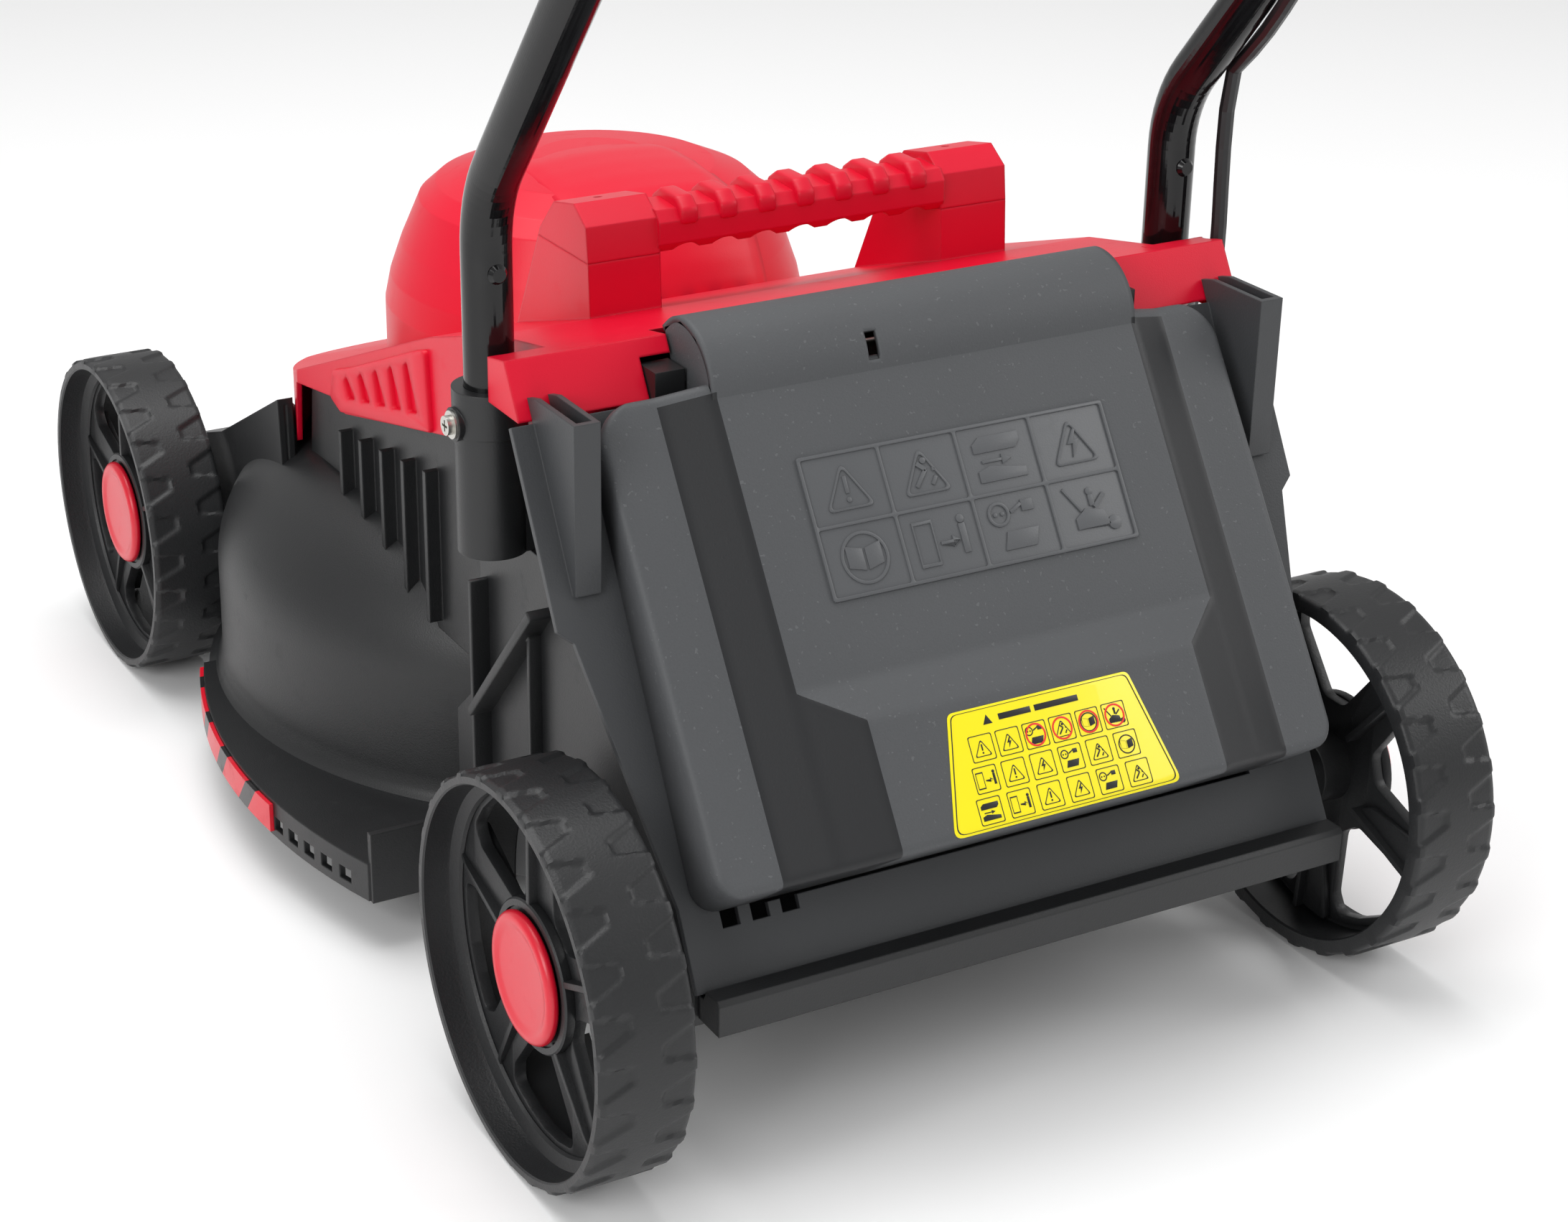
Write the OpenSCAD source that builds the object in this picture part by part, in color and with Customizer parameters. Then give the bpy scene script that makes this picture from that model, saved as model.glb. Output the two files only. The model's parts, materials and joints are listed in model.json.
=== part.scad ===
// Corded electric rotary lawn mower with a rear discharge flap and a folding steel handle.
// Every module draws with the rear axle line at y = 0, z = 0 (+Y is the push direction,
// +X the operator's right). place() lifts the whole machine onto its wheels.

/* [Wheels and axles] */
// Outer diameter of all four wheels
wheel_d = 180; // [165:1:200]
// Width of a wheel across its tread
wheel_w = 44; // [38:1:48]
// Distance from the rear axle to the front axle
wheelbase = 569; // [560:1:620]
// Distance between the middles of the rear wheels
rear_track = 412; // [410:1:440]
// Distance between the middles of the front wheels
front_track = 388; // [386:1:420]
// Diameter of the axles
axle_d = 12; // [10:0.5:14]
// Diameter of the red hub caps
cap_d = 58; // [50:1:64]

/* [Cutting deck] */
// Diameter of the circle cut by the blade tips
cut_d = 380; // [320:1:384]
// Gap between the blade tips and the inside of the housing
tip_gap = 11.5; // [9:0.5:14]
// Distance of the blade axis ahead of the rear axle
blade_y = 370; // [360:1:385]
// Wall of the moulded deck
deck_wall = 3.5; // [2.5:0.1:4.5]
// Height of the deck rim below the axle line
rim_drop = 62; // [56:1:68]
// Number of vent fins on each side of the deck
fin_count = 5; // [3:1:6]

/* [Motor] */
// Outer diameter of the motor can
motor_d = 104; // [90:1:120]
// Length of the motor can
motor_len = 84; // [70:1:92]
// Diameter of the rotor shaft
shaft_d = 14; // [12:0.5:17]

/* [Cover and carry handle] */
// Half width of the cover's side skirts
cover_hw = 157; // [155:0.5:158]
// Wall of the moulded cover
cover_wall = 3; // [2:0.1:4]
// Radius of the motor dome at its foot
dome_r = 109; // [100:1:115]
// Height of the dome's top above the axle line
dome_top = 236; // [225:1:250]
// Half distance between the outer faces of the carry handle blocks
block_x = 110; // [104:1:118]
// Width of one carry handle block
block_w = 36; // [28:1:42]

/* [Handle tubes] */
// Outer diameter of the handle tubes
tube_d = 22; // [19:0.5:24]
// Wall of the handle tubes
tube_wall = 1.2; // [1:0.1:2]
// Half distance between the lower tubes
tube_x = 176; // [174:1:180]
// Distance of the lower tubes ahead of the rear axle
tube_y = 116; // [114:1:122]
// Height of the tube bend above the axle line
bend_z = 300; // [285:1:330]
// Backward lean of the tubes above the bend
lean = 40; // [30:1:48]
// Radius of the tube bend
bend_r = 60; // [45:1:80]
// Length of the leaning part of the lower tubes, up to the fold bolts
lower_len = 275; // [240:1:330]
// Length of the upper handle, from the fold bolts to the crossbar
upper_len = 535; // [450:1:600]
// Gap between a lower tube and the upper handle beside it
fold_gap = 2; // [1:0.5:4]
// Diameter of the fold bolts
bolt_d = 6; // [5:0.5:8]

/* [Rear flap] */
// Width of the flap
flap_w = 314; // [290:1:316]
// Length of the flap's face below its shoulders
flap_len = 210; // [190:1:214]
// Wall of the moulded flap
flap_wall = 3; // [2.5:0.1:4]
// Half width of the raised hump that wraps the hinge
hump_x = 107; // [100:1:108]
// Diameter of the flap's hinge rod
rod_d = 5; // [4:0.5:6]

/* [Fits] */
// Radial clearance of a running fit
run_fit = 0.05; // [0.02:0.01:0.1]
// Gap between pieces that only pass each other
pass_gap = 1.5; // [1:0.1:3]

/* [Mains inlet] */
// Diameter of an inlet pin
pin_d = 4; // [3.5:0.1:5]
// Free length of an inlet pin
pin_len = 18; // [14:0.5:20]
// Distance between the two inlet pins
pin_pitch = 19; // [16:0.5:19.5]

/* [Hidden] */
$fn = 64;
e = 0.01;
tube_r = tube_d / 2;

// Housing: the walls stand just outside the blade circle
shell_r = cut_d / 2 + tip_gap + deck_wall;
shell_z = [-45, 18, 42, 57, 68, 78];      // heights of the housing outline, foot to crown
crown_r = 119;                            // radius where the crown becomes flat
crown_z = shell_z[5];
rim_hw = 230;                             // half width across the rim
rim_y = [190, 440];                       // rear and front ends of the rim's bulge
rim_top = -42;
rim_wall = 3;

// Rear tower: the chute body between the rear wheels
tower_hw = 163;
tower_top_hw = cover_hw - cover_wall - 0.6;
tower_front = 160;
shoulder_z = 143;                         // where the tower steps in for the sockets
// Rear plate plane: foot point, and tilt from the vertical towards +Y
plate_y = -50;
plate_z = 3;
plate_tilt = 28.8;
plate_len = 244;
plate_t = 3;
plate_x = [163.5, 163, 182, 188.4];
function plate_back(z) = plate_y + tan(plate_tilt) * (z - plate_z);
function plate_front(z) = plate_back(z) + plate_t / cos(plate_tilt);
// Flap plane: foot point of its border, and tilt
flap_tilt = 33.4;
hinge_y = 73;
hinge_z = 221;
flap_foot = [-59.5, 48.8];
panel_out = 9.5;                          // upper centre panel stands out by this
ledge_out = 20;                           // lower centre panel stands out by this
hump_r = 29;
block_in = hump_x + pass_gap;
hinge_block_w = 14;
hinge_pad = hinge_z - 10;                 // top of the deck's pads under the hinge blocks
// Nose of the deck, between the front wheels
nose_hw = front_track / 2 - wheel_w / 2 - 8;
nose_end = wheelbase + 39;

// Cover
cover_front_r = 160;
skirt_line = [[70, 217], [100, 190], [209, 160], [335, 129], [350, 133], [404, 124], [415, 87]];
cover_top = [[83.5, 240], [150, 227], [225, 203], [415, 126], [470, 112], [560, 84]];

// Carry handle
split_z = 251;
grip_y = [153, 180];
grip_z = [251, 270];

// Sockets for the lower tubes
socket_r = tube_r + 4.5;
socket_z = [shoulder_z, 218];
socket_screw_z = 203;

// Motor stack, above and below the housing crown
motor_z = crown_z + 4;
blade_z = -44;
blade_t = 3;

// Handle
upper_x = tube_x - tube_d - fold_gap;
bend_arc = bend_r * tan(lean / 2);
fold_y = tube_y - sin(lean) * lower_len;
fold_z = bend_z + cos(lean) * lower_len;
fold_tail = 22;
bar_r = 55;
bail_z = 400;
bail_arm = 140;
bail_x = 104;
bail_rod = 7;
bail_open = 28;
box_z = [375, 465];
box_x = [upper_x - 40, upper_x + 18];
box_d = 24;
button_x = box_x[0] + 12;
button_z = box_z[1] - 26;
button_r = 8;
inlet_w = 17;
inlet_h = 36;
inlet_up = 8;                             // the inlet starts this far up the switch box
shell_t = 3;                              // wall of the switch box

// Wheel hub, from the wheel's middle plane outwards
hub_out = 10;
axle_out = 12;

// Motor cable: out of its gland, up behind the right tube and under the lean of the handle
cable_d = 7.5;
cable_off = tube_r + cable_d / 2 + 0.5;
gland_pos = [189, 93, 222];
gland_r = cable_d / 2 + 2.2;
// Up the lower tube: distance above the bend, angle from the outer side to the underside
cable_wrap = [[30, 28], [48, 42], [66, 56], [84, 69], [102, 80], [120, 88], [138, 90]];
cable_free = 60;                          // the cable is free this far each side of the fold

// The frame's origin is on the ground, midway between the front of the front wheels and
// the back of the crossbar
front_end = wheelbase + wheel_d / 2;
grip_d = tube_d + 9;
back_end = fold_y - sin(lean) * upper_len - grip_d / 2;
origin_y = -(front_end + back_end) / 2;
axle_z = wheel_d / 2;

// ---- placing helpers ----

// Rear axle frame to the finished frame
module place() {
  translate([0, origin_y, axle_z]) children();
}

// Extrudes a (y, z) outline along X, from x0 over a width w
module yz(x0, w) {
  translate([x0, 0, 0]) rotate([90, 0, 90]) linear_extrude(w) children();
}

// A cylinder along +X from x0
module xcyl(x0, len, r, y = 0, z = 0) {
  translate([x0, y, z]) rotate([0, 90, 0]) cylinder(h = len, r = r);
}

// x, z outline standing on the rear plate plane; -y is the outside
module on_plate() {
  translate([0, plate_y, plate_z]) rotate([-plate_tilt, 0, 0]) children();
}

// The same for the flap's border plane
module on_flap() {
  translate([0, flap_foot[0], flap_foot[1]]) rotate([-flap_tilt, 0, 0]) children();
}

// Extrudes an (x, z) outline along +Y, from y0 over a depth d
module xz(y0, d) {
  translate([0, y0 + d, 0]) rotate([90, 0, 0]) linear_extrude(d) children();
}

// The leaning handle frame: origin at the fold bolts, +Z up the handle
module on_handle() {
  translate([0, fold_y, fold_z]) rotate([lean, 0, 0]) children();
}

// Keeps a piece on the left and a mirrored one on the right
module side(s) {
  if (s < 0) children();
  else mirror([1, 0, 0]) children();
}

// ---- deck ----

// Housing outline, with its wall taken in by t
module housing(t) {
  r = shell_r - t;
  translate([0, blade_y, 0]) rotate_extrude($fn = 96) polygon([
    [0, shell_z[0] - (t > 0 ? 20 : 0)], [r, shell_z[0] - (t > 0 ? 20 : 0)], [r, shell_z[1] - t / 3],
    [r - 9, shell_z[2] - t * 0.7], [r - 25, shell_z[3] - t * 0.9], [r - 55, shell_z[4] - t],
    [crown_r - 33, crown_z - t], [0, crown_z - t]]);
}

// Plan of the rim: the housing circle and a bulge on each side of it
module rim_plan(t) {
  circle(r = shell_r + 2 - t, $fn = 96);
  intersection() {
    translate([373 - rim_hw, -65]) circle(r = 373 - t, $fn = 128);
    translate([rim_hw - 373, -65]) circle(r = 373 - t, $fn = 128);
    translate([-rim_hw, rim_y[0] - blade_y + t])
      square([rim_hw * 2, rim_y[1] - rim_y[0] - 2 * t]);
  }
}

module rim_solid(t, z0, z1) {
  translate([0, blade_y, z0]) linear_extrude(z1 - z0) rim_plan(t);
}

// Top line of the chute's floor, from the back down to the blade chamber
floor_line = [[-50, 10], [60, 10], [110, -8], [163, -38.5], [tower_front + 30, -41.5]];

// Side outline of the rear tower
module tower_side() {
  polygon([[plate_front(4) + 0.1, 4], [plate_front(hinge_z - 10) + 0.1, hinge_z - 10],
    [tower_front, 186], [tower_front, shell_z[3]], [tower_front + 30, 30],
    [tower_front + 30, -46], [163, -43], [110, -22], [60, -14], [plate_front(4), -14]]);
}

// Side outline of the chute's inside
module chute_side() {
  t = deck_wall;
  polygon(concat([for (p = floor_line) p], [[tower_front + 30, 26], [tower_front - t, shell_z[3] - t],
    [tower_front - t, 186 - t], [plate_front(hinge_z - 14) + t, hinge_z - 14], [-60, 0]]));
}

// Side outline of the wall that carries the cover above the housing
module carrier_side() {
  polygon([[tower_front - 2, crown_z - 30], [tower_front - 2, 178], [330, 134], [400, 122],
    [blade_y + 40, crown_z - 30]]);
}

// Side outline of the nose between the front wheels
module nose_side(t) {
  polygon([[blade_y + 40, crown_z - 30], [blade_y + 44, 112 - t], [507, 63 - t], [560, 44 - t],
    [nose_end - 10 - t, 16], [nose_end - t, -20], [nose_end - t, -rim_drop],
    [blade_y + 150, -rim_drop]]);
}

// The nose without the room that the cover's round front takes
module nose(t) {
  difference() {
    yz(-nose_hw + t, (nose_hw - t) * 2) nose_side(t);
    translate([0, blade_y, 60 - t]) cylinder(h = 200, r = cover_front_r + pass_gap + t, $fn = 96);
  }
}

// Front axle bosses
module nose_bosses() {
  for (s = [-1, 1]) xcyl(s > 0 ? nose_hw - 30 : -nose_hw - 5, 35, 14, wheelbase, 0);
}

module deck() {
  color("#26282b") difference() {
    union() {
      housing(0);
      rim_solid(0, -rim_drop, rim_top);
      // chute tower, stepped in below the cover
      intersection() {
        yz(-tower_hw, tower_hw * 2) tower_side();
        union() {
          translate([-tower_hw, -60, -80]) cube([tower_hw * 2, 300, shoulder_z + 80]);
          translate([-tower_top_hw, -60, 0]) cube([tower_top_hw * 2, 300, 250]);
        }
      }
      // upright side walls that carry the cover, with their vent fins
      for (s = [-1, 1]) yz(s > 0 ? tower_top_hw - 8 : 4 - tower_top_hw, 4) carrier_side();
      for (s = [-1, 1], i = [0 : fin_count - 1])
        translate([s * (tower_top_hw - 2) - 5, 236 + i * 27, crown_z - 24])
          cube([10, 3.5, 62 + (fin_count - 1 - i) * 4]);
      nose(0);
      nose_bosses();
      for (s = [-1, 1]) {
        xcyl(s > 0 ? tower_hw - 12 : -tower_hw - 12, 24, 14, 0, 0);
        // rear corner wall of the rim
        translate([s > 0 ? tower_hw - 2 : -211, rim_y[0] - 3, -rim_drop]) cube([50, 4, 37]);
        // pads for the hinge blocks
        translate([s * (block_in + hinge_block_w / 2) - 7, hinge_y - 7, hinge_z - 18])
          cube([hinge_block_w, 15, 8]);
      }
    }
    housing(deck_wall);
    rim_solid(rim_wall, -rim_drop - 1, rim_top - rim_wall);
    // chute, open at the back
    intersection() {
      yz(-tower_hw + deck_wall, (tower_hw - deck_wall) * 2) chute_side();
      union() {
        translate([-tower_hw, -80, -80]) cube([tower_hw * 2, 300, shoulder_z + 80 - deck_wall]);
        translate([-tower_top_hw + deck_wall, -80, 0])
          cube([(tower_top_hw - deck_wall) * 2, 300, 250]);
      }
    }
    // room under the chute's floor for the rear axle
    difference() {
      yz(-tower_hw + deck_wall, (tower_hw - deck_wall) * 2) polygon(concat(
        [[-41, -60], [-41, floor_line[0][1] - deck_wall]],
        [for (i = [1 : 4]) floor_line[i] - [1, deck_wall]], [[tower_front + 29, -60]]));
      for (s = [-1, 1]) xcyl(s > 0 ? tower_hw - 12 : -tower_hw - 12, 24, 14, 0, 0);
    }
    translate([0, blade_y, 0]) cylinder(h = 100, r = 30);
    // nose is hollow from below, outside the housing
    difference() {
      nose(deck_wall);
      housing(0);
      nose_bosses();
    }
    translate([-nose_hw + deck_wall, blade_y + 152, -rim_drop - 1])
      cube([(nose_hw - deck_wall) * 2, nose_end - deck_wall - blade_y - 152, 8]);
    // hump of the flap turns here
    xcyl(-block_in, block_in * 2, hump_r + pass_gap, hinge_y, hinge_z);
    // grooves that take the lower lip of the cover
    for (s = [-1, 1]) translate([s * (block_in + 29.5) - 16, 80.2, hinge_pad - 5.3])
      cube([32, 2.6, 10]);
    // axle bores
    xcyl(-300, 600, axle_d / 2, 0, 0);
    for (s = [-1, 1]) xcyl(s > 0 ? nose_hw - 40 : -nose_hw - 10, 50, axle_d / 2, wheelbase, 0);
    // front wheels turn here
    for (s = [-1, 1]) xcyl(s > 0 ? nose_hw + 5 : -nose_hw - 65, 60, wheel_d / 2 + 5, wheelbase, 0);
    // row of rim windows on each side
    for (s = [-1, 1], i = [0 : 4]) translate([s * 222, 207 + i * 15, rim_top - 12])
      cube([30, 9, 7], center = true);
  }
}

// Room for the hinge blocks in a piece beside the flap
module hinge_room() {
  for (s = [-1, 1]) translate([s * (block_in + hinge_block_w / 2) - hinge_block_w / 2 - 0.5,
    hinge_y - 17, hinge_z - 21]) cube([hinge_block_w + 1, 30, 33]);
}

module rear_plate() {
  color("#5b5d60") difference() {
    union() {
      on_plate() xz(0, plate_t) polygon([[-plate_x[0], 0], [-plate_x[1], 36], [-plate_x[2], 152],
        [-plate_x[3], 158], [-plate_x[3], plate_len], [plate_x[3], plate_len], [plate_x[3], 158],
        [plate_x[2], 152], [plate_x[1], 36], [plate_x[0], 0]]);
      // grass box hooks: upright channels, open at the top
      for (s = [-1, 1]) {
        for (x = [166, 175.5]) yz(s > 0 ? x : -x - 2.5, 2.5) hook_side();
        translate([s > 0 ? 166 : -178, 30, 153]) cube([12, 3, 75]);
      }
    }
    on_plate() translate([-128, -5, 30]) cube([256, 20, 178]);
    on_plate() for (i = [0 : 2]) translate([-145.3 + i * 14.2, -5, 24]) cube([8.4, 20, 8.5]);
    xcyl(-block_in, block_in * 2, hump_r + pass_gap, hinge_y, hinge_z);
    hinge_room();
  }
}

// One flange of a hook, from its upright web forward to the plate
module hook_side() {
  polygon([[30, 153], [34, 153], [74, 226], [66, 228], [30, 228]]);
}

module rear_bar() {
  color("#2d2e30") difference() {
    half = plate_x[1] - 2;
    foot = [plate_y + 3.5, plate_z - 1.6];
    yz(-half, half * 2) polygon([foot, [foot[0], -10], [-64, -10], [-64, 4], [-62, 6], [-53, 6],
      [plate_y - 1, foot[1]]]);
    yz(-half + 3, half * 2 - 6) polygon([[foot[0] - 3, -7], [-61, -7], [-61, foot[1] - 2.5],
      [foot[0] - 3, foot[1] - 2.5]]);
  }
}

// Hazard strip on the outside of the rim, from its post forward
module bumper(s) {
  reach = 373;                            // radius of the rim's side arc
  color("crimson") side(s) intersection() {
    translate([reach - rim_hw, blade_y - 65, -rim_drop + 3]) difference() {
      cylinder(h = rim_drop + rim_top - 5, r = reach + 2.2, $fn = 128);
      translate([0, 0, -1]) cylinder(h = 40, r = reach + 0.05, $fn = 128);
    }
    translate([-260, 272, -80]) cube([100, rim_y[1] - 273, 80]);
  }
}

// ---- motor cover and carry handle ----

// Side outline of the cover, taken in by t
module cover_side(t) {
  polygon(concat(
    [for (p = skirt_line) [p[0] + (p[0] < 80 ? t : 0), p[1] - (t > 0 ? 90 : 0)]],
    [[560, 62 - (t > 0 ? 90 : 0)]],
    [for (i = [len(cover_top) - 1 : -1 : 0]) cover_top[i] - [i == 0 ? -t * 0.8 : 0, t]]));
}

module cover_body(t) {
  intersection() {
    yz(-cover_hw + t, (cover_hw - t) * 2) cover_side(t);
    union() {
      translate([-200, 0, -100]) cube([400, blade_y + 31, 400]);
      translate([0, blade_y, -100]) cylinder(h = 400, r = cover_front_r - t, $fn = 96);
    }
  }
}

module dome(t) {
  r = dome_r - t;
  h = dome_top - t;
  translate([0, blade_y, crown_z]) rotate_extrude($fn = 96) polygon([[0, 0], [r + 1, 0],
    [r + 1, h - 76 - crown_z], [r - 2, h - 62 - crown_z], [r - 8, h - 45 - crown_z],
    [r - 18, h - 22 - crown_z], [r - 27, h - 14 - crown_z], [r - 46, h - 6 - crown_z],
    [r - 80, h - 1 - crown_z], [0, h - crown_z]]);
}

// Side outline of a carry handle block
module block_side() {
  polygon([[151, 205], [154, split_z], [156, 267], [168, 275], [188, 271], [203, 255],
    [232, 196]]);
}

module motor_cover() {
  color("#e4062f") difference() {
    union() {
      cover_body(0);
      dome(0);
      // rear corners that reach out over the plate
      for (s = [-1, 1]) intersection() {
        yz(s > 0 ? 150 : -184, 34) polygon([[70, 217], [83.5, 240], [tube_y - socket_r - 1, 237],
          [tube_y - socket_r - 1, 217]]);
        translate([-184, 0, 0]) cube([368, 200, 300]);
      }
      // lug for the cable gland
      translate([gland_pos[0] - 10, gland_pos[1] - 8, gland_pos[2] - 14]) cube([18, 14, 9]);
      // feet of the carry handle
      for (s = [-1, 1]) intersection() {
        yz(s > 0 ? block_x - block_w : -block_x, block_w) block_side();
        translate([-200, 0, 0]) cube([400, 400, split_z - 0.1]);
      }
    }
    difference() {
      cover_body(cover_wall);
      for (s = [-1, 1]) translate([s * (block_x - block_w / 2), 180, split_z - 20])
        cylinder(h = 60, r = 6, center = true);
    }
    translate([0, 0, -1]) dome(cover_wall);
    for (s = [-1, 1]) yz(s > 0 ? 158 : -181, 23) polygon([[72, 210], [84, 236],
      [tube_y - socket_r - 3, 233], [tube_y - socket_r - 3, 210]]);
    // notches for the flap's hump and the hinge blocks
    xcyl(-block_in, block_in * 2, hump_r + pass_gap, hinge_y, hinge_z);
    hinge_room();
    // sockets pass the skirts here
    for (s = [-1, 1]) translate([s * tube_x, tube_y, 0])
      cylinder(h = 300, r = socket_r + pass_gap);
    translate([gland_pos[0], gland_pos[1], gland_pos[2] - 20]) cylinder(h = 40, r = gland_r);
    translate([gland_pos[0], gland_pos[1], gland_pos[2] - 5]) cylinder(h = 40, r = gland_r + 1.2);
    // screw bosses of the grip
    for (s = [-1, 1]) translate([s * (block_x - block_w / 2), 180, split_z - 25])
      cylinder(h = 60, r = 2);
    // cooling slots in the back of the dome
    for (i = [-2 : 2]) translate([i * 16, blade_y - dome_r, 178]) cube([7, 30, 26], center = true);
  }
}

module carry_grip() {
  color("#e4062f") difference() {
    union() {
      for (s = [-1, 1]) intersection() {
        yz(s > 0 ? block_x - block_w : -block_x, block_w) block_side();
        translate([-200, 0, split_z]) cube([400, 400, 100]);
      }
      yz(-block_x + block_w - 1, (block_x - block_w + 1) * 2) polygon([
        [grip_y[0] + 3, grip_z[0]], [grip_y[0], grip_z[0] + 4], [grip_y[0], grip_z[1] - 5],
        [grip_y[0] + 4, grip_z[1]], [grip_y[1] - 6, grip_z[1] + 1], [grip_y[1], grip_z[1] - 4],
        [grip_y[1], grip_z[0] + 6], [grip_y[1] - 5, grip_z[0]]]);
    }
    // finger scallops below the bar
    for (i = [-3 : 3]) translate([i * 20, 166, grip_z[0] - 6]) rotate([90, 0, 0])
      cylinder(h = 60, r = 9, center = true);
    for (s = [-1, 1]) translate([s * (block_x - block_w / 2), 180, split_z - 25])
      cylinder(h = 60, r = 2);
  }
}

// ---- handle sockets and tubes ----

module socket(s) {
  color("#303236") side(s) difference() {
    union() {
      translate([-tube_x, tube_y, socket_z[0]]) cylinder(h = socket_z[1] - socket_z[0], r = socket_r);
      translate([-tube_x, tube_y, socket_z[1] - 20]) cylinder(h = 20, r = socket_r + 0.9);
      translate([-tower_hw - 2, tube_y - 11, socket_z[0]]) cube([tower_hw + 2 - tower_top_hw, 22, 36]);
      xcyl(-tube_x - socket_r - 2, 8, 7.5, tube_y, socket_screw_z);
    }
    translate([-tube_x, tube_y, socket_z[0] + 6]) cylinder(h = 100, r = tube_r + run_fit);
    xcyl(-tube_x - 30, 24, 2.5, tube_y, socket_screw_z);
  }
}

module socket_screw(s) {
  color("silver") side(s) translate([-tube_x - socket_r - 2, tube_y, socket_screw_z])
    rotate([0, -90, 0]) difference() {
      union() {
        translate([0, 0, -9]) cylinder(h = 10, r = 2.45);
        translate([0, 0, 0.05]) cylinder(h = 1.1, r = 6.2);
        translate([0, 0, 1.1]) cylinder(h = 2.6, r = 4.3);
      }
      for (a = [0, 90]) rotate([0, 0, a]) translate([0, 0, 3]) cube([5.2, 1.1, 2], center = true);
    }
}

// The bent line of a lower tube as a solid of radius r, longer by over at both ends
module pipe_line(r, over = 0) {
  z0 = socket_z[0] + 8 - over;
  translate([0, 0, z0]) cylinder(h = bend_z - bend_arc - z0, r = r);
  translate([0, -bend_r, bend_z - bend_arc]) rotate([90, 0, 90])
    rotate_extrude(angle = lean) translate([bend_r, 0]) rotate(50) circle(r = r);
  translate([0, 0, bend_z]) rotate([lean, 0, 0]) translate([0, 0, bend_arc])
    cylinder(h = lower_len + fold_tail + over - bend_arc, r = r);
}

module lower_tube(s) {
  color("#0c0c0d") side(s) difference() {
    translate([-tube_x, tube_y, 0]) pipe_line(tube_r);
    translate([-tube_x, tube_y, 0]) pipe_line(tube_r - tube_wall, 1);
    xcyl(-tube_x - 20, 40, bolt_d / 2 + run_fit, fold_y, fold_z);
    xcyl(-tube_x - 20, 16, 2.6, tube_y, socket_screw_z);
    translate([-tube_x, tube_y - 20, bend_z - 30]) rotate([-90, 0, 0]) cylinder(h = 16, r = 3);
  }
}

// Round head of the rivet that holds the wedge inside the tube's end
module tube_rivet(s) {
  color("#0c0c0d") side(s) translate([-tube_x, tube_y, bend_z - 30]) rotate([90, 0, 0])
    difference() {
      union() {
        cylinder(h = tube_r + 0.4, r = 2.9);
        translate([0, 0, tube_r + 0.05]) cylinder(h = 2, r1 = 4.4, r2 = 3);
      }
      translate([0, 0, -e]) cylinder(h = 8, r = 1.6);
    }
}

// ---- flap ----

// Solid of the flap's face: a slab with a raised middle, moved in by t
module flap_mass(t) {
  z_ledge = [58, 75.5];
  hull() {
    translate([-128 + t, -0.1, t > 0 ? -1 : 0]) cube([256 - 2 * t, 0.2 + t, flap_len]);
    translate([-hump_x + t, -panel_out + t, z_ledge[1]])
      cube([hump_x * 2 - 2 * t, 0.2, flap_len - z_ledge[1] - 4]);
  }
  hull() {
    translate([-128 + t, -0.1, t > 0 ? -1 : 0]) cube([256 - 2 * t, 0.2 + t, z_ledge[1]]);
    translate([-82 + t, -ledge_out + t, t > 0 ? -1 : 0]) cube([164 - 2 * t, 0.2, z_ledge[0]]);
    translate([-hump_x + t, -panel_out + t, z_ledge[1] - 1]) cube([hump_x * 2 - 2 * t, 0.2, 1]);
  }
}

// Side outline of the tray from the border plane back to the rear plate, in world (y, z)
module tray_side(t) {
  k = [sin(flap_tilt), cos(flap_tilt)];
  top = flap_foot + k * (flap_len - 1.5);
  back = [flap_foot[1] - 18, top[1] - 11];
  polygon([flap_foot + [t, t], top + [t, -t * 2], [plate_back(back[1]) - 0.5, back[1]],
    [plate_back(back[0]) - 0.5, back[0]]]);
}

module flap() {
  color("#55575a") difference() {
    union() {
      difference() {
        union() {
          yz(-flap_w / 2, flap_w) tray_side(0);
          on_flap() flap_mass(0);
        }
        yz(-flap_w / 2 + flap_wall, flap_w - 2 * flap_wall) polygon([flap_foot + [3.4, 1.6],
          flap_foot + [3.4, 1.6] + [sin(flap_tilt), cos(flap_tilt)] * (flap_len - 7),
          [120, 216], [60, 10], [-20, -10]]);
        on_flap() flap_mass(flap_wall);
      }
      // hump shell around the hinge rod, and its ears
      difference() {
        xcyl(-hump_x, hump_x * 2, hump_r, hinge_y, hinge_z);
        xcyl(-hump_x - 1, hump_x * 2 + 2, hump_r - flap_wall, hinge_y, hinge_z);
        yz(-hump_x - 1, hump_x * 2 + 2) polygon([[hinge_y, hinge_z], [hinge_y + 60, hinge_z + 79],
          [hinge_y + 60, hinge_z - 60], [hinge_y - 60, hinge_z - 60], [hinge_y - 60, hinge_z + 2]]);
      }
      for (x = [-hump_x, -52, 46, hump_x - 6]) yz(x, 6) polygon([[hinge_y + 4, hinge_z - 3.5],
        [hinge_y + 6, hinge_z + 8], [hinge_y + 14, hinge_z + 22], [hinge_y - 8, hinge_z + 26.5],
        [hinge_y - 26, hinge_z + 8], [hinge_y - 27, hinge_z - 12], [hinge_y - 4, hinge_z - 3.5]]);
    }
    xcyl(-hump_x - 1, hump_x * 2 + 2, rod_d / 2 + run_fit, hinge_y, hinge_z);
    // slit in the hump
    translate([-28, hinge_y - hump_r, hinge_z + 3]) cube([6, 20, 14], center = true);
  }
}

module flap_rod() {
  color("silver") xcyl(-block_in - hinge_block_w + 2, (block_in + hinge_block_w - 2) * 2, rod_d / 2,
    hinge_y, hinge_z);
}

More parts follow.
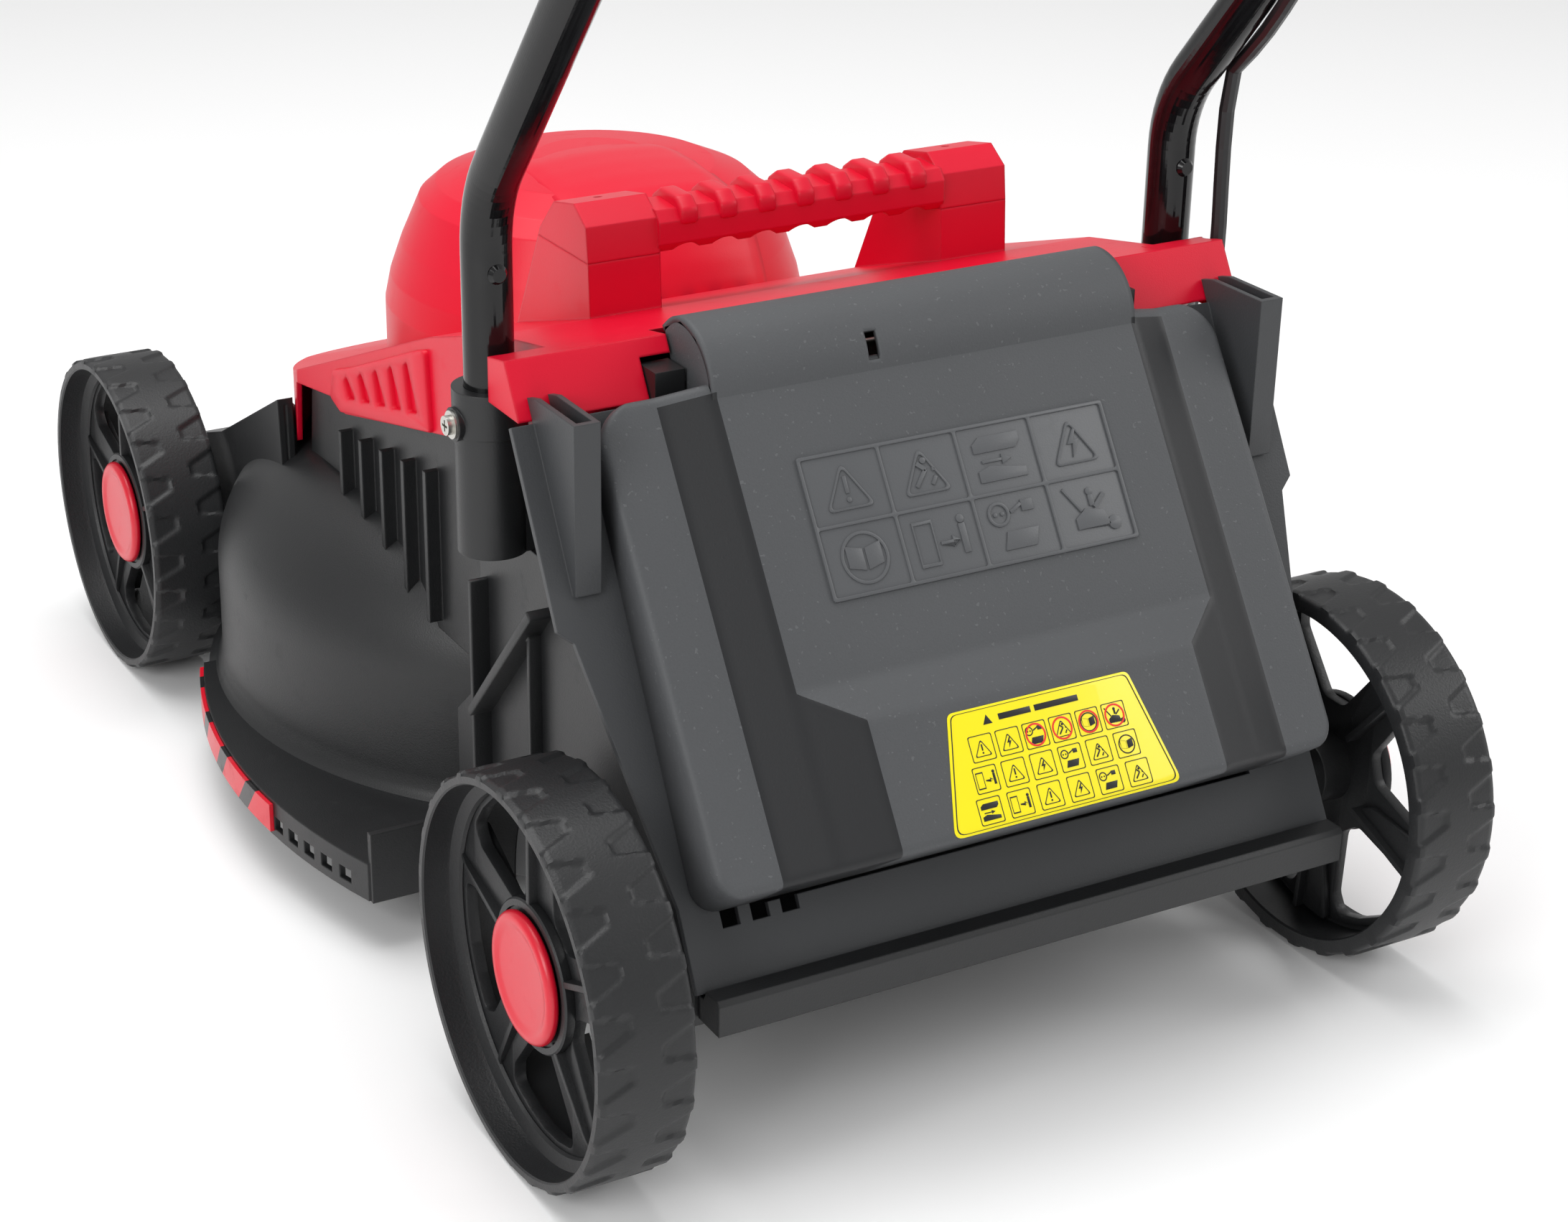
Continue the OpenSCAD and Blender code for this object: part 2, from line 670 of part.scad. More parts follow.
// Closing spring, shown as its wound sleeve with two straight legs
module flap_spring() {
  color("silver") difference() {
    union() {
      xcyl(-40, 34, rod_d / 2 + 2.6, hinge_y, hinge_z);
      yz(-40, 2) polygon([[hinge_y, hinge_z + 3], [hinge_y, hinge_z + 5], [hinge_y - 18, hinge_z + 5],
        [hinge_y - 18, hinge_z + 3]]);
    }
    xcyl(-41, 36, rod_d / 2 + 0.6, hinge_y, hinge_z);
  }
}

module hinge_block(s) {
  color("#2a2b2e") side(s) difference() {
    translate([-block_in - hinge_block_w, hinge_y - 7, hinge_pad])
      cube([hinge_block_w, 15, hinge_z + 9 - hinge_pad]);
    xcyl(-block_in - hinge_block_w + 1.9, 30, rod_d / 2, hinge_y, hinge_z);
  }
}

// ---- motor and blade ----

module motor_base() {
  color("#8b8e92") translate([0, blade_y, crown_z]) difference() {
    union() {
      cylinder(h = 4, r = 62);
      cylinder(h = 12, r = 20);
    }
    translate([0, 0, -1]) cylinder(h = 30, r = shaft_d / 2 + 1);
    translate([0, 0, 3]) cylinder(h = 30, r = 16);
    for (a = [45 : 90 : 315]) rotate([0, 0, a]) translate([56, 0, -1]) cylinder(h = 8, r = 2.5);
  }
}

module motor_can() {
  color("#9a9da1") translate([0, blade_y, motor_z]) difference() {
    cylinder(h = motor_len, r = motor_d / 2);
    translate([0, 0, -1]) cylinder(h = motor_len - 7, r = motor_d / 2 - 4);
    translate([0, 0, motor_len - 9]) cylinder(h = 20, r = shaft_d / 2 + 1);
    translate([0, 0, motor_len - 8.5]) cylinder(h = 6, r = 16);
    for (a = [0 : 60 : 300]) rotate([0, 0, a]) translate([34, 0, motor_len - 9])
      cylinder(h = 20, r = 8);
  }
}

module bearing(z) {
  color("#c8cacc") translate([0, blade_y, z]) difference() {
    cylinder(h = 6, r = 16);
    translate([0, 0, -1]) cylinder(h = 8, r = shaft_d / 2 + run_fit);
  }
}

module rotor() {
  color("#7b5a3a") translate([0, blade_y, 0]) {
    translate([0, 0, blade_z + 14]) cylinder(h = motor_z + motor_len + 14 - blade_z - 14,
      r = shaft_d / 2);
    translate([0, 0, motor_z + 12]) difference() {
      cylinder(h = motor_len - 30, r = 32);
      for (a = [0 : 45 : 315]) rotate([0, 0, a]) translate([30, -2, -1])
        cube([4, 4, motor_len]);
    }
  }
}

module cooling_fan() {
  color("#1d1e20") translate([0, blade_y, motor_z + motor_len + 3]) difference() {
    union() {
      cylinder(h = 2, r = 44);
      cylinder(h = 10, r = 12);
      for (a = [0 : 45 : 315]) rotate([0, 0, a]) translate([11, -1, 1]) cube([32, 2, 9]);
    }
    translate([0, 0, -1]) cylinder(h = 20, r = shaft_d / 2);
  }
}

module blade_holder() {
  color("#3a3c40") translate([0, blade_y, blade_z + blade_t]) difference() {
    union() {
      cylinder(h = 4, r = 34);
      cylinder(h = 24, r = 15);
    }
    translate([0, 0, 11]) cylinder(h = 30, r = shaft_d / 2);
    translate([0, 0, -1]) cylinder(h = 14, r = 4);
  }
}

module blade() {
  r = cut_d / 2;
  color("#b9bcc0") translate([0, blade_y, blade_z]) difference() {
    intersection() {
      translate([-r, -24, 0]) cube([r * 2, 48, blade_t]);
      cylinder(h = blade_t, r = r);
    }
    translate([0, 0, -1]) cylinder(h = 8, r = 4);
    // sharpened leading edges
    for (a = [0, 180]) rotate([0, 0, a]) translate([r - 90, 24, blade_t])
      rotate([-28, 0, 0]) translate([0, -4, 0]) cube([100, 12, 6]);
  }
}

module blade_bolt() {
  color("silver") translate([0, blade_y, blade_z]) {
    translate([0, 0, -2.2]) cylinder(h = 2.2, r = 13);
    translate([0, 0, -8]) cylinder(h = 6, r = 7.5, $fn = 6);
    translate([0, 0, -3]) cylinder(h = 16, r = 4);
  }
}

// ---- wheels ----

// Wheel about its own middle, outside towards -X
module wheel_solid() {
  r = wheel_d / 2;
  w = wheel_w / 2;
  rotate([0, -90, 0]) difference() {
    union() {
      rotate_extrude($fn = 96) polygon([[r, -w + 5], [r - 2.5, -w], [r - 9, -w], [r - 9, -w + 3],
        [r - 6.5, -w + 6], [r - 6.5, w - 16], [r - 13, w - 12], [r - 13, w - 10],
        [r - 6, w - 7], [r - 6, w], [r - 2.5, w], [r, w - 5]]);
      translate([0, 0, 4]) cylinder(h = 5, r = r - 5, $fn = 96);
      translate([0, 0, -w + 6]) cylinder(h = w - 6 + hub_out, r = 17);
      for (a = [0 : 72 : 288]) rotate([0, 0, a]) translate([12, -2.5, -8]) cube([r - 17, 5, 16]);
    }
    for (a = [36 : 72 : 324]) rotate([0, 0, a]) translate([0, 0, -1]) linear_extrude(20)
      polygon([[31, -11], [r - 17, -31], [r - 14, -16], [r - 13, 0], [r - 14, 16], [r - 17, 31],
        [31, 11]]);
    translate([0, 0, -40]) cylinder(h = 80, r = axle_d / 2 + run_fit);
  }
}

module hub_cap_solid() {
  rotate([0, -90, 0]) translate([0, 0, hub_out]) difference() {
    rotate_extrude() polygon([[0, 2.4], [11, 2.4], [14, 0.05], [cap_d / 2, 0.05], [cap_d / 2, 3],
      [cap_d / 2 - 4, 5], [cap_d / 2 - 7, 4.4], [cap_d / 2 - 11, 3.8], [0, 3.8]]);
    translate([cap_d / 2, 0, 2]) cube([4, 6, 8], center = true);
  }
}

// Push nut on the axle's end, in the hub's outer face
module axle_nut_solid() {
  rotate([0, -90, 0]) translate([0, 0, hub_out + 0.4]) difference() {
    cylinder(h = 1.3, r = 9);
    translate([0, 0, -1]) cylinder(h = 4, r = axle_d / 2);
  }
}

// Puts a wheel piece on its axle: s = -1 left or 1 right, f = 1 front or 0 rear
module at_wheel(s, f) {
  translate([s * (f > 0 ? front_track : rear_track) / 2, f * wheelbase, 0])
    rotate([0, 0, s > 0 ? 180 : 0]) children();
}

module wheel(s, f) {
  color("#1f2124") at_wheel(s, f) wheel_solid();
}

module hub_cap(s, f) {
  color("#e4062f") at_wheel(s, f) hub_cap_solid();
}

module axle_nut(s, f) {
  color("silver") at_wheel(s, f) axle_nut_solid();
}

module rear_axle() {
  half = rear_track / 2 + axle_out;
  color("silver") xcyl(-half, half * 2, axle_d / 2);
}

module front_axle(s) {
  half = front_track / 2 + axle_out;
  color("silver") side(s) xcyl(-half, half - nose_hw + 38, axle_d / 2, wheelbase, 0);
}

// ---- upper handle and controls ----

// The U of the upper handle in the handle frame, as a solid of radius r
module bar_line(r, tail) {
  straight = upper_len - bar_r;
  for (s = [-1, 1]) {
    translate([s * upper_x, 0, -tail]) cylinder(h = straight + tail, r = r);
    translate([s * (upper_x - bar_r), 0, straight]) rotate([90, 0, 0]) mirror([s < 0 ? 1 : 0, 0, 0])
      rotate_extrude(angle = 90) translate([bar_r, 0]) circle(r = r);
  }
  translate([-upper_x + bar_r, 0, upper_len]) rotate([0, 90, 0])
    cylinder(h = (upper_x - bar_r) * 2, r = r);
}

module upper_handle() {
  color("#0c0c0d") difference() {
    on_handle() bar_line(tube_r, fold_tail);
    on_handle() bar_line(tube_r - tube_wall, fold_tail + 1);
    xcyl(-300, 600, bolt_d / 2 + run_fit, fold_y, fold_z);
  }
}

module handle_grip() {
  half = upper_x - bar_r - 4;
  color("#1a1b1d") on_handle() translate([-half, 0, upper_len]) rotate([0, 90, 0]) difference() {
    cylinder(h = half * 2, r = grip_d / 2);
    translate([0, 0, -1]) cylinder(h = half * 2 + 2, r = tube_r);
  }
}

// Carriage bolt through the upper handle, its spacer and the lower tube
module fold_bolt(s) {
  color("silver") side(s) {
    xcyl(-tube_x - tube_r - 17, 17 + tube_d * 2 + fold_gap + 1.5, bolt_d / 2, fold_y, fold_z);
    xcyl(-upper_x + tube_r + 0.4, 3, 7, fold_y, fold_z);
    difference() {
      xcyl(-tube_x + tube_r, fold_gap, 7, fold_y, fold_z);
      xcyl(-tube_x + tube_r - 1, fold_gap + 2, bolt_d / 2 - 0.2, fold_y, fold_z);
    }
  }
}

module knob(s) {
  color("#e4062f") side(s) translate([-tube_x - tube_r - 0.5, fold_y, fold_z]) rotate([0, -90, 0])
    difference() {
      union() {
        cylinder(h = 8, r = 7.5);
        translate([0, 0, 7]) cylinder(h = 12, r = 14);
        for (a = [8 : 72 : 296]) rotate([0, 0, a]) translate([15, 0, 7.5]) cylinder(h = 11, r = 5);
      }
      translate([0, 0, -1]) cylinder(h = 18, r = bolt_d / 2 + run_fit);
    }
}

// Outer form of the switch box in the handle frame
module box_form(t) {
  translate([box_x[0] + t, -box_d + t, box_z[0] + t])
    cube([box_x[1] - box_x[0] - 2 * t, (box_d - t) * 2, box_z[1] - box_z[0] - 2 * t]);
}

module switch_half(front) {
  color("#25272a") on_handle() difference() {
    intersection() {
      box_form(0);
      translate([0, front ? 0 : -50, box_z[0]]) cube([300, 50, 300]);
      // rounded long edges
      union() {
        translate([(box_x[0] + box_x[1]) / 2, 0, 0]) cylinder(h = 900, r = 35);
        translate([(box_x[0] + box_x[1]) / 2 - 24, -60, 0]) cube([48, 120, 900]);
      }
    }
    // tube seat, and the hollow for the switch
    translate([upper_x, 0, 0]) cylinder(h = 900, r = tube_r);
    translate([box_x[0] + 3, -box_d + 3, box_z[0] + 4])
      cube([upper_x - tube_r - 3 - box_x[0] - 3, box_d * 2 - 6, box_z[1] - box_z[0] - 8]);
    // bail pivot, button, inlet and cable ways
    translate([box_x[0] - 1, 0, bail_z]) rotate([0, 90, 0])
      cylinder(h = 8, r = bail_rod / 2 + run_fit);
    translate([button_x, 0, button_z]) rotate([-90, 0, 0]) cylinder(h = 60, r = button_r + run_fit);
    translate([box_x[0] + 6, -box_d - 1, box_z[0] + inlet_up]) cube([inlet_w, 28, inlet_h]);
    translate([upper_x, -cable_off, box_z[0] - 1]) cylinder(h = 12, r = cable_d / 2);
  }
}

module safety_button() {
  color("#e4062f") on_handle() translate([button_x, 0, button_z]) rotate([-90, 0, 0]) {
    translate([0, 0, box_d - 8]) cylinder(h = 12, r = button_r);
    translate([0, 0, box_d - shell_t - 2.3]) cylinder(h = 2, r = button_r + 0.9);
  }
}

// Recessed mains inlet: a shroud with a floor and two pins that point back from the switch box
module inlet() {
  x0 = box_x[0] + 6;
  z0 = box_z[0] + inlet_up;
  color("#2f3134") on_handle() {
    difference() {
      translate([x0, -box_d - 14, z0 + 0.1]) cube([inlet_w - 0.1, 40, inlet_h - 0.2]);
      translate([x0 + 2.5, -box_d - 15, z0 + 2.6]) cube([inlet_w - 5.1, 22, inlet_h - 5.2]);
    }
    for (k = [-1, 1]) translate([x0 + inlet_w / 2, -box_d + 7 - pin_len,
      z0 + inlet_h / 2 + k * pin_pitch / 2]) rotate([-90, 0, 0])
        cylinder(h = pin_len + 1, r = pin_d / 2);
  }
}

// Switch lever: a U of rod, hinged in the switch box and the left bracket
module bail_lever() {
  color("#e4062f") on_handle() translate([0, 0, bail_z]) rotate([-bail_open, 0, 0]) {
    for (s = [-1, 1]) {
      translate([s * bail_x, 0, 0]) cylinder(h = bail_arm, r = bail_rod / 2);
      translate([s * bail_x, 0, 0]) sphere(r = bail_rod / 2);
      translate([s * bail_x, 0, bail_arm]) sphere(r = bail_rod / 2);
      translate([s * bail_x, 0, 0]) rotate([0, s * 90, 0]) cylinder(h = upper_x - 40 - bail_x + 5,
        r = bail_rod / 2);
    }
    translate([-bail_x, 0, bail_arm]) rotate([0, 90, 0]) cylinder(h = bail_x * 2, r = bail_rod / 2);
  }
}

// Clamp on the left tube that holds the lever's other end
module bail_bracket() {
  color("#25272a") on_handle() difference() {
    union() {
      translate([-upper_x, 0, bail_z - 15]) cylinder(h = 30, r = tube_r + 5);
      translate([-box_x[0] - 29, -9, bail_z - 12]) cube([29, 18, 24]);
    }
    translate([-upper_x, 0, 0]) cylinder(h = 900, r = tube_r);
    translate([-box_x[0] - 7, 0, bail_z]) rotate([0, 90, 0])
      cylinder(h = 12, r = bail_rod / 2 + run_fit);
  }
}

// ---- motor cable, held along the right tube ----

// Rings of a round sweep along points p
function unit(v) = v / norm(v);
function dir(p, i) = unit(p[min(i + 1, len(p) - 1)] - p[max(i - 1, 0)]);
function ring(p, i, r, n) = let (d = dir(p, i), u = unit(cross(d, [0.31, 0.9, -0.3])),
  v = cross(d, u)) [for (k = [0 : n - 1]) p[i] + r * (u * cos(k * 360 / n) + v * sin(k * 360 / n))];

module sweep(p, r, n = 10) {
  m = len(p);
  polyhedron(points = [for (i = [0 : m - 1]) each ring(p, i, r, n)], faces = concat(
    [[for (k = [0 : n - 1]) k]],
    [for (i = [0 : m - 2], k = [0 : n - 1]) [i * n + k, (i + 1) * n + k,
      (i + 1) * n + (k + 1) % n, i * n + (k + 1) % n]],
    [[for (k = [n - 1 : -1 : 0]) (m - 1) * n + k]]));
}

// A point on the cable beside the lower tube: up the lean, and round it from the outer side
function beside_tube(up, a) = [tube_x + cable_off * cos(a),
  tube_y - sin(lean) * up - cos(lean) * cable_off * sin(a),
  bend_z + cos(lean) * up - sin(lean) * cable_off * sin(a)];

// A point under the leaning tubes, up from the fold
function under_tube(x, up) = [x, fold_y - sin(lean) * up - cos(lean) * cable_off,
  fold_z + cos(lean) * up - sin(lean) * cable_off];

// Cubic through four control points
function curve(a, b, c, d, n) = [for (i = [0 : n]) let (t = i / n) a * pow(1 - t, 3)
  + b * 3 * t * pow(1 - t, 2) + c * 3 * t * t * (1 - t) + d * pow(t, 3)];

up_lean = [0, -sin(lean), cos(lean)];
cable_ends = [under_tube(tube_x, -cable_free), under_tube(upper_x, cable_free)];

module cable_lower() {
  foot = [for (p = [[0, 0, 0], [0, 0, 6], [0.3, 0.3, 22], [0.8, 1.6, 40], [1.2, 2.6, 58],
    [1.3, 2.4, 76]]) gland_pos + p];
  wrap = [for (q = cable_wrap) beside_tube(q[0], q[1])];
  last = [for (u = [-lower_len + 160 : 18 : -cable_free - 6]) under_tube(tube_x, u)];
  color("#111") sweep(concat(foot, wrap, last, [cable_ends[0] - up_lean * 3, cable_ends[0]]),
    cable_d / 2);
}

module cable_bend() {
  a = cable_ends[0] + up_lean * 3;
  b = cable_ends[1] - up_lean * 3;
  sag = [0, -8, -6];
  color("#111") sweep(concat([cable_ends[0]], curve(a, a + up_lean * 35 + sag,
    b - up_lean * 35 + sag, b, 8), [cable_ends[1]]), cable_d / 2);
}

module cable_upper() {
  color("#111") on_handle() translate([upper_x, -cable_off, cable_free + 0.2])
    cylinder(h = box_z[0] - cable_free + 8.8, r = cable_d / 2);
}

module cable_gland() {
  color("#111") translate(gland_pos) difference() {
    union() {
      translate([0, 0, -16]) cylinder(h = 16, r = gland_r);
      translate([0, 0, -5]) cylinder(h = 2.5, r = gland_r + 1);
    }
    translate([0, 0, -18]) cylinder(h = 14, r = 2);
  }
}

// ---- all nodes ----

place() deck();
place() rear_plate();
place() rear_bar();
place() bumper(-1);  // bumper_l
place() bumper(1);  // bumper_r
place() motor_cover();
place() carry_grip();
place() socket(-1);  // socket_l
place() socket(1);  // socket_r
place() socket_screw(-1);  // socket_screw_l
place() socket_screw(1);  // socket_screw_r
place() lower_tube(-1);  // lower_tube_l
place() lower_tube(1);  // lower_tube_r
place() tube_rivet(-1);  // tube_rivet_l
place() tube_rivet(1);  // tube_rivet_r
place() flap();
place() flap_rod();
place() flap_spring();
place() hinge_block(-1);  // hinge_block_l
place() hinge_block(1);  // hinge_block_r
place() motor_can();
place() motor_base();
place() bearing(motor_z + motor_len - 8.5);  // bearing_upper
place() bearing(crown_z + 3);  // bearing_lower
place() rotor();
place() cooling_fan();
place() blade_holder();
place() blade();
place() blade_bolt();
place() rear_axle();
place() front_axle(-1);  // front_axle_l
place() front_axle(1);  // front_axle_r
place() wheel(-1, 1);  // wheel_fl
place() wheel(1, 1);  // wheel_fr
place() wheel(-1, 0);  // wheel_rl
place() wheel(1, 0);  // wheel_rr
place() hub_cap(-1, 1);  // hub_cap_fl
place() hub_cap(1, 1);  // hub_cap_fr
place() hub_cap(-1, 0);  // hub_cap_rl
place() hub_cap(1, 0);  // hub_cap_rr
place() axle_nut(-1, 1);  // axle_nut_fl
place() axle_nut(1, 1);  // axle_nut_fr
place() axle_nut(-1, 0);  // axle_nut_rl
place() axle_nut(1, 0);  // axle_nut_rr
place() upper_handle();
place() handle_grip();
place() fold_bolt(-1);  // fold_bolt_l
place() fold_bolt(1);  // fold_bolt_r
place() knob(-1);  // knob_l
place() knob(1);  // knob_r
place() switch_half(true);  // switch_front
place() switch_half(false);  // switch_back
place() safety_button();
place() bail_lever();
place() bail_bracket();
place() inlet();
place() cable_lower();
place() cable_bend();
place() cable_upper();
place() cable_gland();
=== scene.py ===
import json
import math

import bmesh
import bpy
from mathutils import Matrix, Vector


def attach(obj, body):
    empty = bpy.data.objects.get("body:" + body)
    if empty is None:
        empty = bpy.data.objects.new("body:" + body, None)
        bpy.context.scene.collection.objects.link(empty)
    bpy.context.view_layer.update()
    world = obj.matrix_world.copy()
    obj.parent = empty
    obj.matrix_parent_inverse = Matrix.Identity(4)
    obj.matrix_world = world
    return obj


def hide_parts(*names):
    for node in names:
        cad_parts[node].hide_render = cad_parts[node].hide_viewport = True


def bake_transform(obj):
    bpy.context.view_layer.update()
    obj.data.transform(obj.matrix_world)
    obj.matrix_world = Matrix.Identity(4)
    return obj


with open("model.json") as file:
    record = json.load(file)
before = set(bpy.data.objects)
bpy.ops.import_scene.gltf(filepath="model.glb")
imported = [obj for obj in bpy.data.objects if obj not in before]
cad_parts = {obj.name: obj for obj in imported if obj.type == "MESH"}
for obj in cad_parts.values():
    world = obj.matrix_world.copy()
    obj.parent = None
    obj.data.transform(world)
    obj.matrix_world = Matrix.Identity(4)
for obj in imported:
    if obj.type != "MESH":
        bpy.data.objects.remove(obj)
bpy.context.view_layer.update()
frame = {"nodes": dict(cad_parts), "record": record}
nodes = frame["nodes"]


# ---- camera ----
# A studio camera that stands behind and to the left of the machine and looks down on its
# rear deck. The shift only moves the frame, as a view camera's does.

camera = bpy.data.objects.new("camera", bpy.data.cameras.new("camera"))
bpy.context.collection.objects.link(camera)
bpy.context.scene.camera = camera
camera.location = (-0.6602, -1.0822, 0.7351)
camera.rotation_euler = (math.radians(66.562), 0.0, math.radians(-27.507))
camera.data.sensor_width = 36.0
camera.data.lens = 67.67
camera.data.shift_x = 0.0848
camera.data.shift_y = -0.0278
camera.data.clip_end = 60.0
bpy.context.scene.view_settings.view_transform = "Standard"


# ---- floor and light ----
# A plain pale floor under an even white surround, with one broad overhead light and two side
# lights, as in a product studio.

floor_mesh = bpy.data.meshes.new("studio_floor")
floor_mesh.from_pydata([(-30, -30, 0), (30, -30, 0), (30, 30, 0), (-30, 30, 0)], [], [(0, 1, 2, 3)])
studio_floor = bpy.data.objects.new("studio_floor", floor_mesh)
bpy.context.collection.objects.link(studio_floor)
floor_paint = bpy.data.materials.new("floor_paint")
floor_paint.use_nodes = True
floor_paint.node_tree.nodes["Principled BSDF"].inputs["Base Color"].default_value = (0.93, 0.93, 0.93, 1)
floor_paint.node_tree.nodes["Principled BSDF"].inputs["Roughness"].default_value = 0.75
floor_mesh.materials.append(floor_paint)

world = bpy.data.worlds.new("studio")
bpy.context.scene.world = world
world.use_nodes = True
world.node_tree.nodes["Background"].inputs["Color"].default_value = (1.0, 1.0, 1.0, 1)
world.node_tree.nodes["Background"].inputs["Strength"].default_value = 0.56

for name, place, size, power in [
    ("overhead", (-0.3, 0.4, 2.6), 2.0, 46.0),
    ("left_side", (-2.2, -1.2, 1.5), 1.3, 30.0),
    ("right_side", (2.3, -1.0, 1.6), 1.2, 18.0),
]:
    light = bpy.data.objects.new(name, bpy.data.lights.new(name, "AREA"))
    bpy.context.collection.objects.link(light)
    light.location = place
    light.rotation_euler = (Vector((0.0, 0.1, 0.2)) - Vector(place)).to_track_quat("-Z", "Y").to_euler()
    light.data.size = size
    light.data.energy = power


# ---- wheels ----
# Each wheel is one black polypropylene moulding: a wide hoop with shallow pockets round its
# tread, a sunk disc with five windows, five ribs and a hub that runs on the plain axle.

MM = 0.001
joints = {j["name"]: j for j in frame["record"]["behaviour"]["joints"]}
rear_axle_at = Vector(joints["rear_left_wheel"]["pos_m"])
# Outlines below are in millimetres from the middle of the rear axle
MOWER = Matrix.Translation((0.0, rear_axle_at.y, rear_axle_at.z)) @ Matrix.Scale(MM, 4)


class Field:
    """One socket of a finish, so that shader maths reads as arithmetic."""

    def __init__(self, finish, socket):
        self.finish = finish
        self.socket = socket

    def maths(self, kind, *values):
        return self.finish.node("ShaderNodeMath", {"operation": kind}, dict(enumerate(values)))

    def __add__(self, other):
        return self.maths("ADD", self, other)

    def __radd__(self, other):
        return self.maths("ADD", other, self)

    def __sub__(self, other):
        return self.maths("SUBTRACT", self, other)

    def __rsub__(self, other):
        return self.maths("SUBTRACT", other, self)

    def __mul__(self, other):
        return self.maths("MULTIPLY", self, other)

    def __rmul__(self, other):
        return self.maths("MULTIPLY", other, self)

    def __mod__(self, other):
        return self.maths("FLOORED_MODULO", self, other)

    def __rmod__(self, other):
        return self.maths("FLOORED_MODULO", other, self)

    def __abs__(self):
        return self.maths("ABSOLUTE", self)

    def __gt__(self, other):
        return self.maths("GREATER_THAN", self, other)

    def __lt__(self, other):
        return self.maths("LESS_THAN", self, other)

    def ramp(self, low, high):
        """0 below low, 1 above high, smooth between."""
        return self.finish.node(
            "ShaderNodeMapRange",
            {"interpolation_type": "SMOOTHSTEP"},
            {"Value": self, "From Min": low, "From Max": high},
        )


class Finish:
    """A procedural material round one Principled shader, which holds its fixed numbers."""

    def __init__(self, name, colour, rough, **fixed):
        self.material = bpy.data.materials.new(name)
        self.material.use_nodes = True
        self.tree = self.material.node_tree
        self.shader = self.tree.nodes["Principled BSDF"]
        self.shader.inputs["Base Color"].default_value = (*colour, 1.0)
        self.shader.inputs["Roughness"].default_value = rough
        for key, value in fixed.items():
            self.shader.inputs[key.replace("_", " ")].default_value = value
        self.place = self.node("ShaderNodeTexCoord", {}, {}, "Object")

    def node(self, kind, settings, values, out=0):
        made = self.tree.nodes.new(kind)
        for key, value in settings.items():
            setattr(made, key, value)
        for key, value in values.items():
            if isinstance(value, Field):
                self.tree.links.new(value.socket, made.inputs[key])
            else:
                made.inputs[key].default_value = value
        return Field(self, made.outputs[out])

    def axes(self):
        """The three object coordinates, in metres."""
        return [self.node("ShaderNodeSeparateXYZ", {}, {"Vector": self.place}, k) for k in range(3)]

    def noise(self, size, detail=2.0):
        """Clouds about size metres across."""
        values = {"Vector": self.place, "Scale": 1.0 / size, "Detail": detail}
        return self.node("ShaderNodeTexNoise", {}, values)

    def mix(self, low, high, amount):
        ends = [c if isinstance(c, Field) else (*c, 1.0) for c in (low, high)]
        return self.node("ShaderNodeMix", {"data_type": "RGBA"}, {0: amount, 6: ends[0], 7: ends[1]}, 2)

    def feed(self, name, field):
        self.tree.links.new(field.socket, self.shader.inputs[name])

    def bump(self, height, depth, edge=0.0):
        """Relief of a given depth; edge rounds the look of corners to that radius."""
        values = {"Height": height, "Distance": depth}
        if edge:
            values["Normal"] = self.node("ShaderNodeBevel", {"samples": 4}, {"Radius": edge})
        self.feed("Normal", self.node("ShaderNodeBump", {}, values))


def moulded(name, colour, rough, grain=0.0007, depth=0.00006, shade=0.14, edge=0.0, **fixed):
    """Moulded plastic: a fine spark texture, slow changes of tone and faint handling marks."""
    finish = Finish(name, colour, rough, **fixed)
    slow = finish.noise(0.09, 3.0)
    fine = finish.noise(grain, 2.0)
    marks = finish.noise(0.012, 6.0).ramp(0.58, 0.72)
    dark = [c * (1 - shade) for c in colour]
    light = [c * (1 + shade) for c in colour]
    finish.feed("Base Color", finish.mix(dark, light, slow * 0.7 + fine * 0.3))
    finish.feed("Roughness", slow * 0.12 + fine * 0.1 + marks * 0.05 + (rough - 0.11))
    finish.bump(fine + slow * 0.4, depth, edge)
    return finish.material


def plate(loops, low, high, edge):
    """A mesh of a flat plate in mm: the first loop is its outline, the rest are holes in it."""
    curve = bpy.data.curves.new("plate", "CURVE")
    curve.dimensions = "2D"
    curve.fill_mode = "BOTH"
    for loop in loops:
        spline = curve.splines.new("POLY")
        spline.points.add(len(loop) - 1)
        for point, p in zip(spline.points, loop):
            point.co = (p[0], p[1], 0.0, 1.0)
        spline.use_cyclic_u = True
    curve.offset = -edge
    curve.bevel_depth = edge
    curve.bevel_resolution = 1
    curve.extrude = max((high - low) / 2 - edge, 0.0)
    maker = bpy.data.objects.new("plate", curve)
    bpy.context.collection.objects.link(maker)
    bpy.context.view_layer.update()
    mesh = bpy.data.meshes.new_from_object(maker.evaluated_get(bpy.context.evaluated_depsgraph_get()))
    bpy.data.objects.remove(maker)
    bpy.data.curves.remove(curve)
    mesh.transform(Matrix.Translation((0, 0, (high + low) / 2)))
    return mesh


def lathe(profile, steps, closed=False):
    """A mesh turned about Z from (radius, height) points."""
    rings = []
    for k in range(steps):
        a = math.tau * k / steps
        rings.append([(r * math.cos(a), r * math.sin(a), z) for r, z in profile])
    return skin(rings, around=closed, along=True)


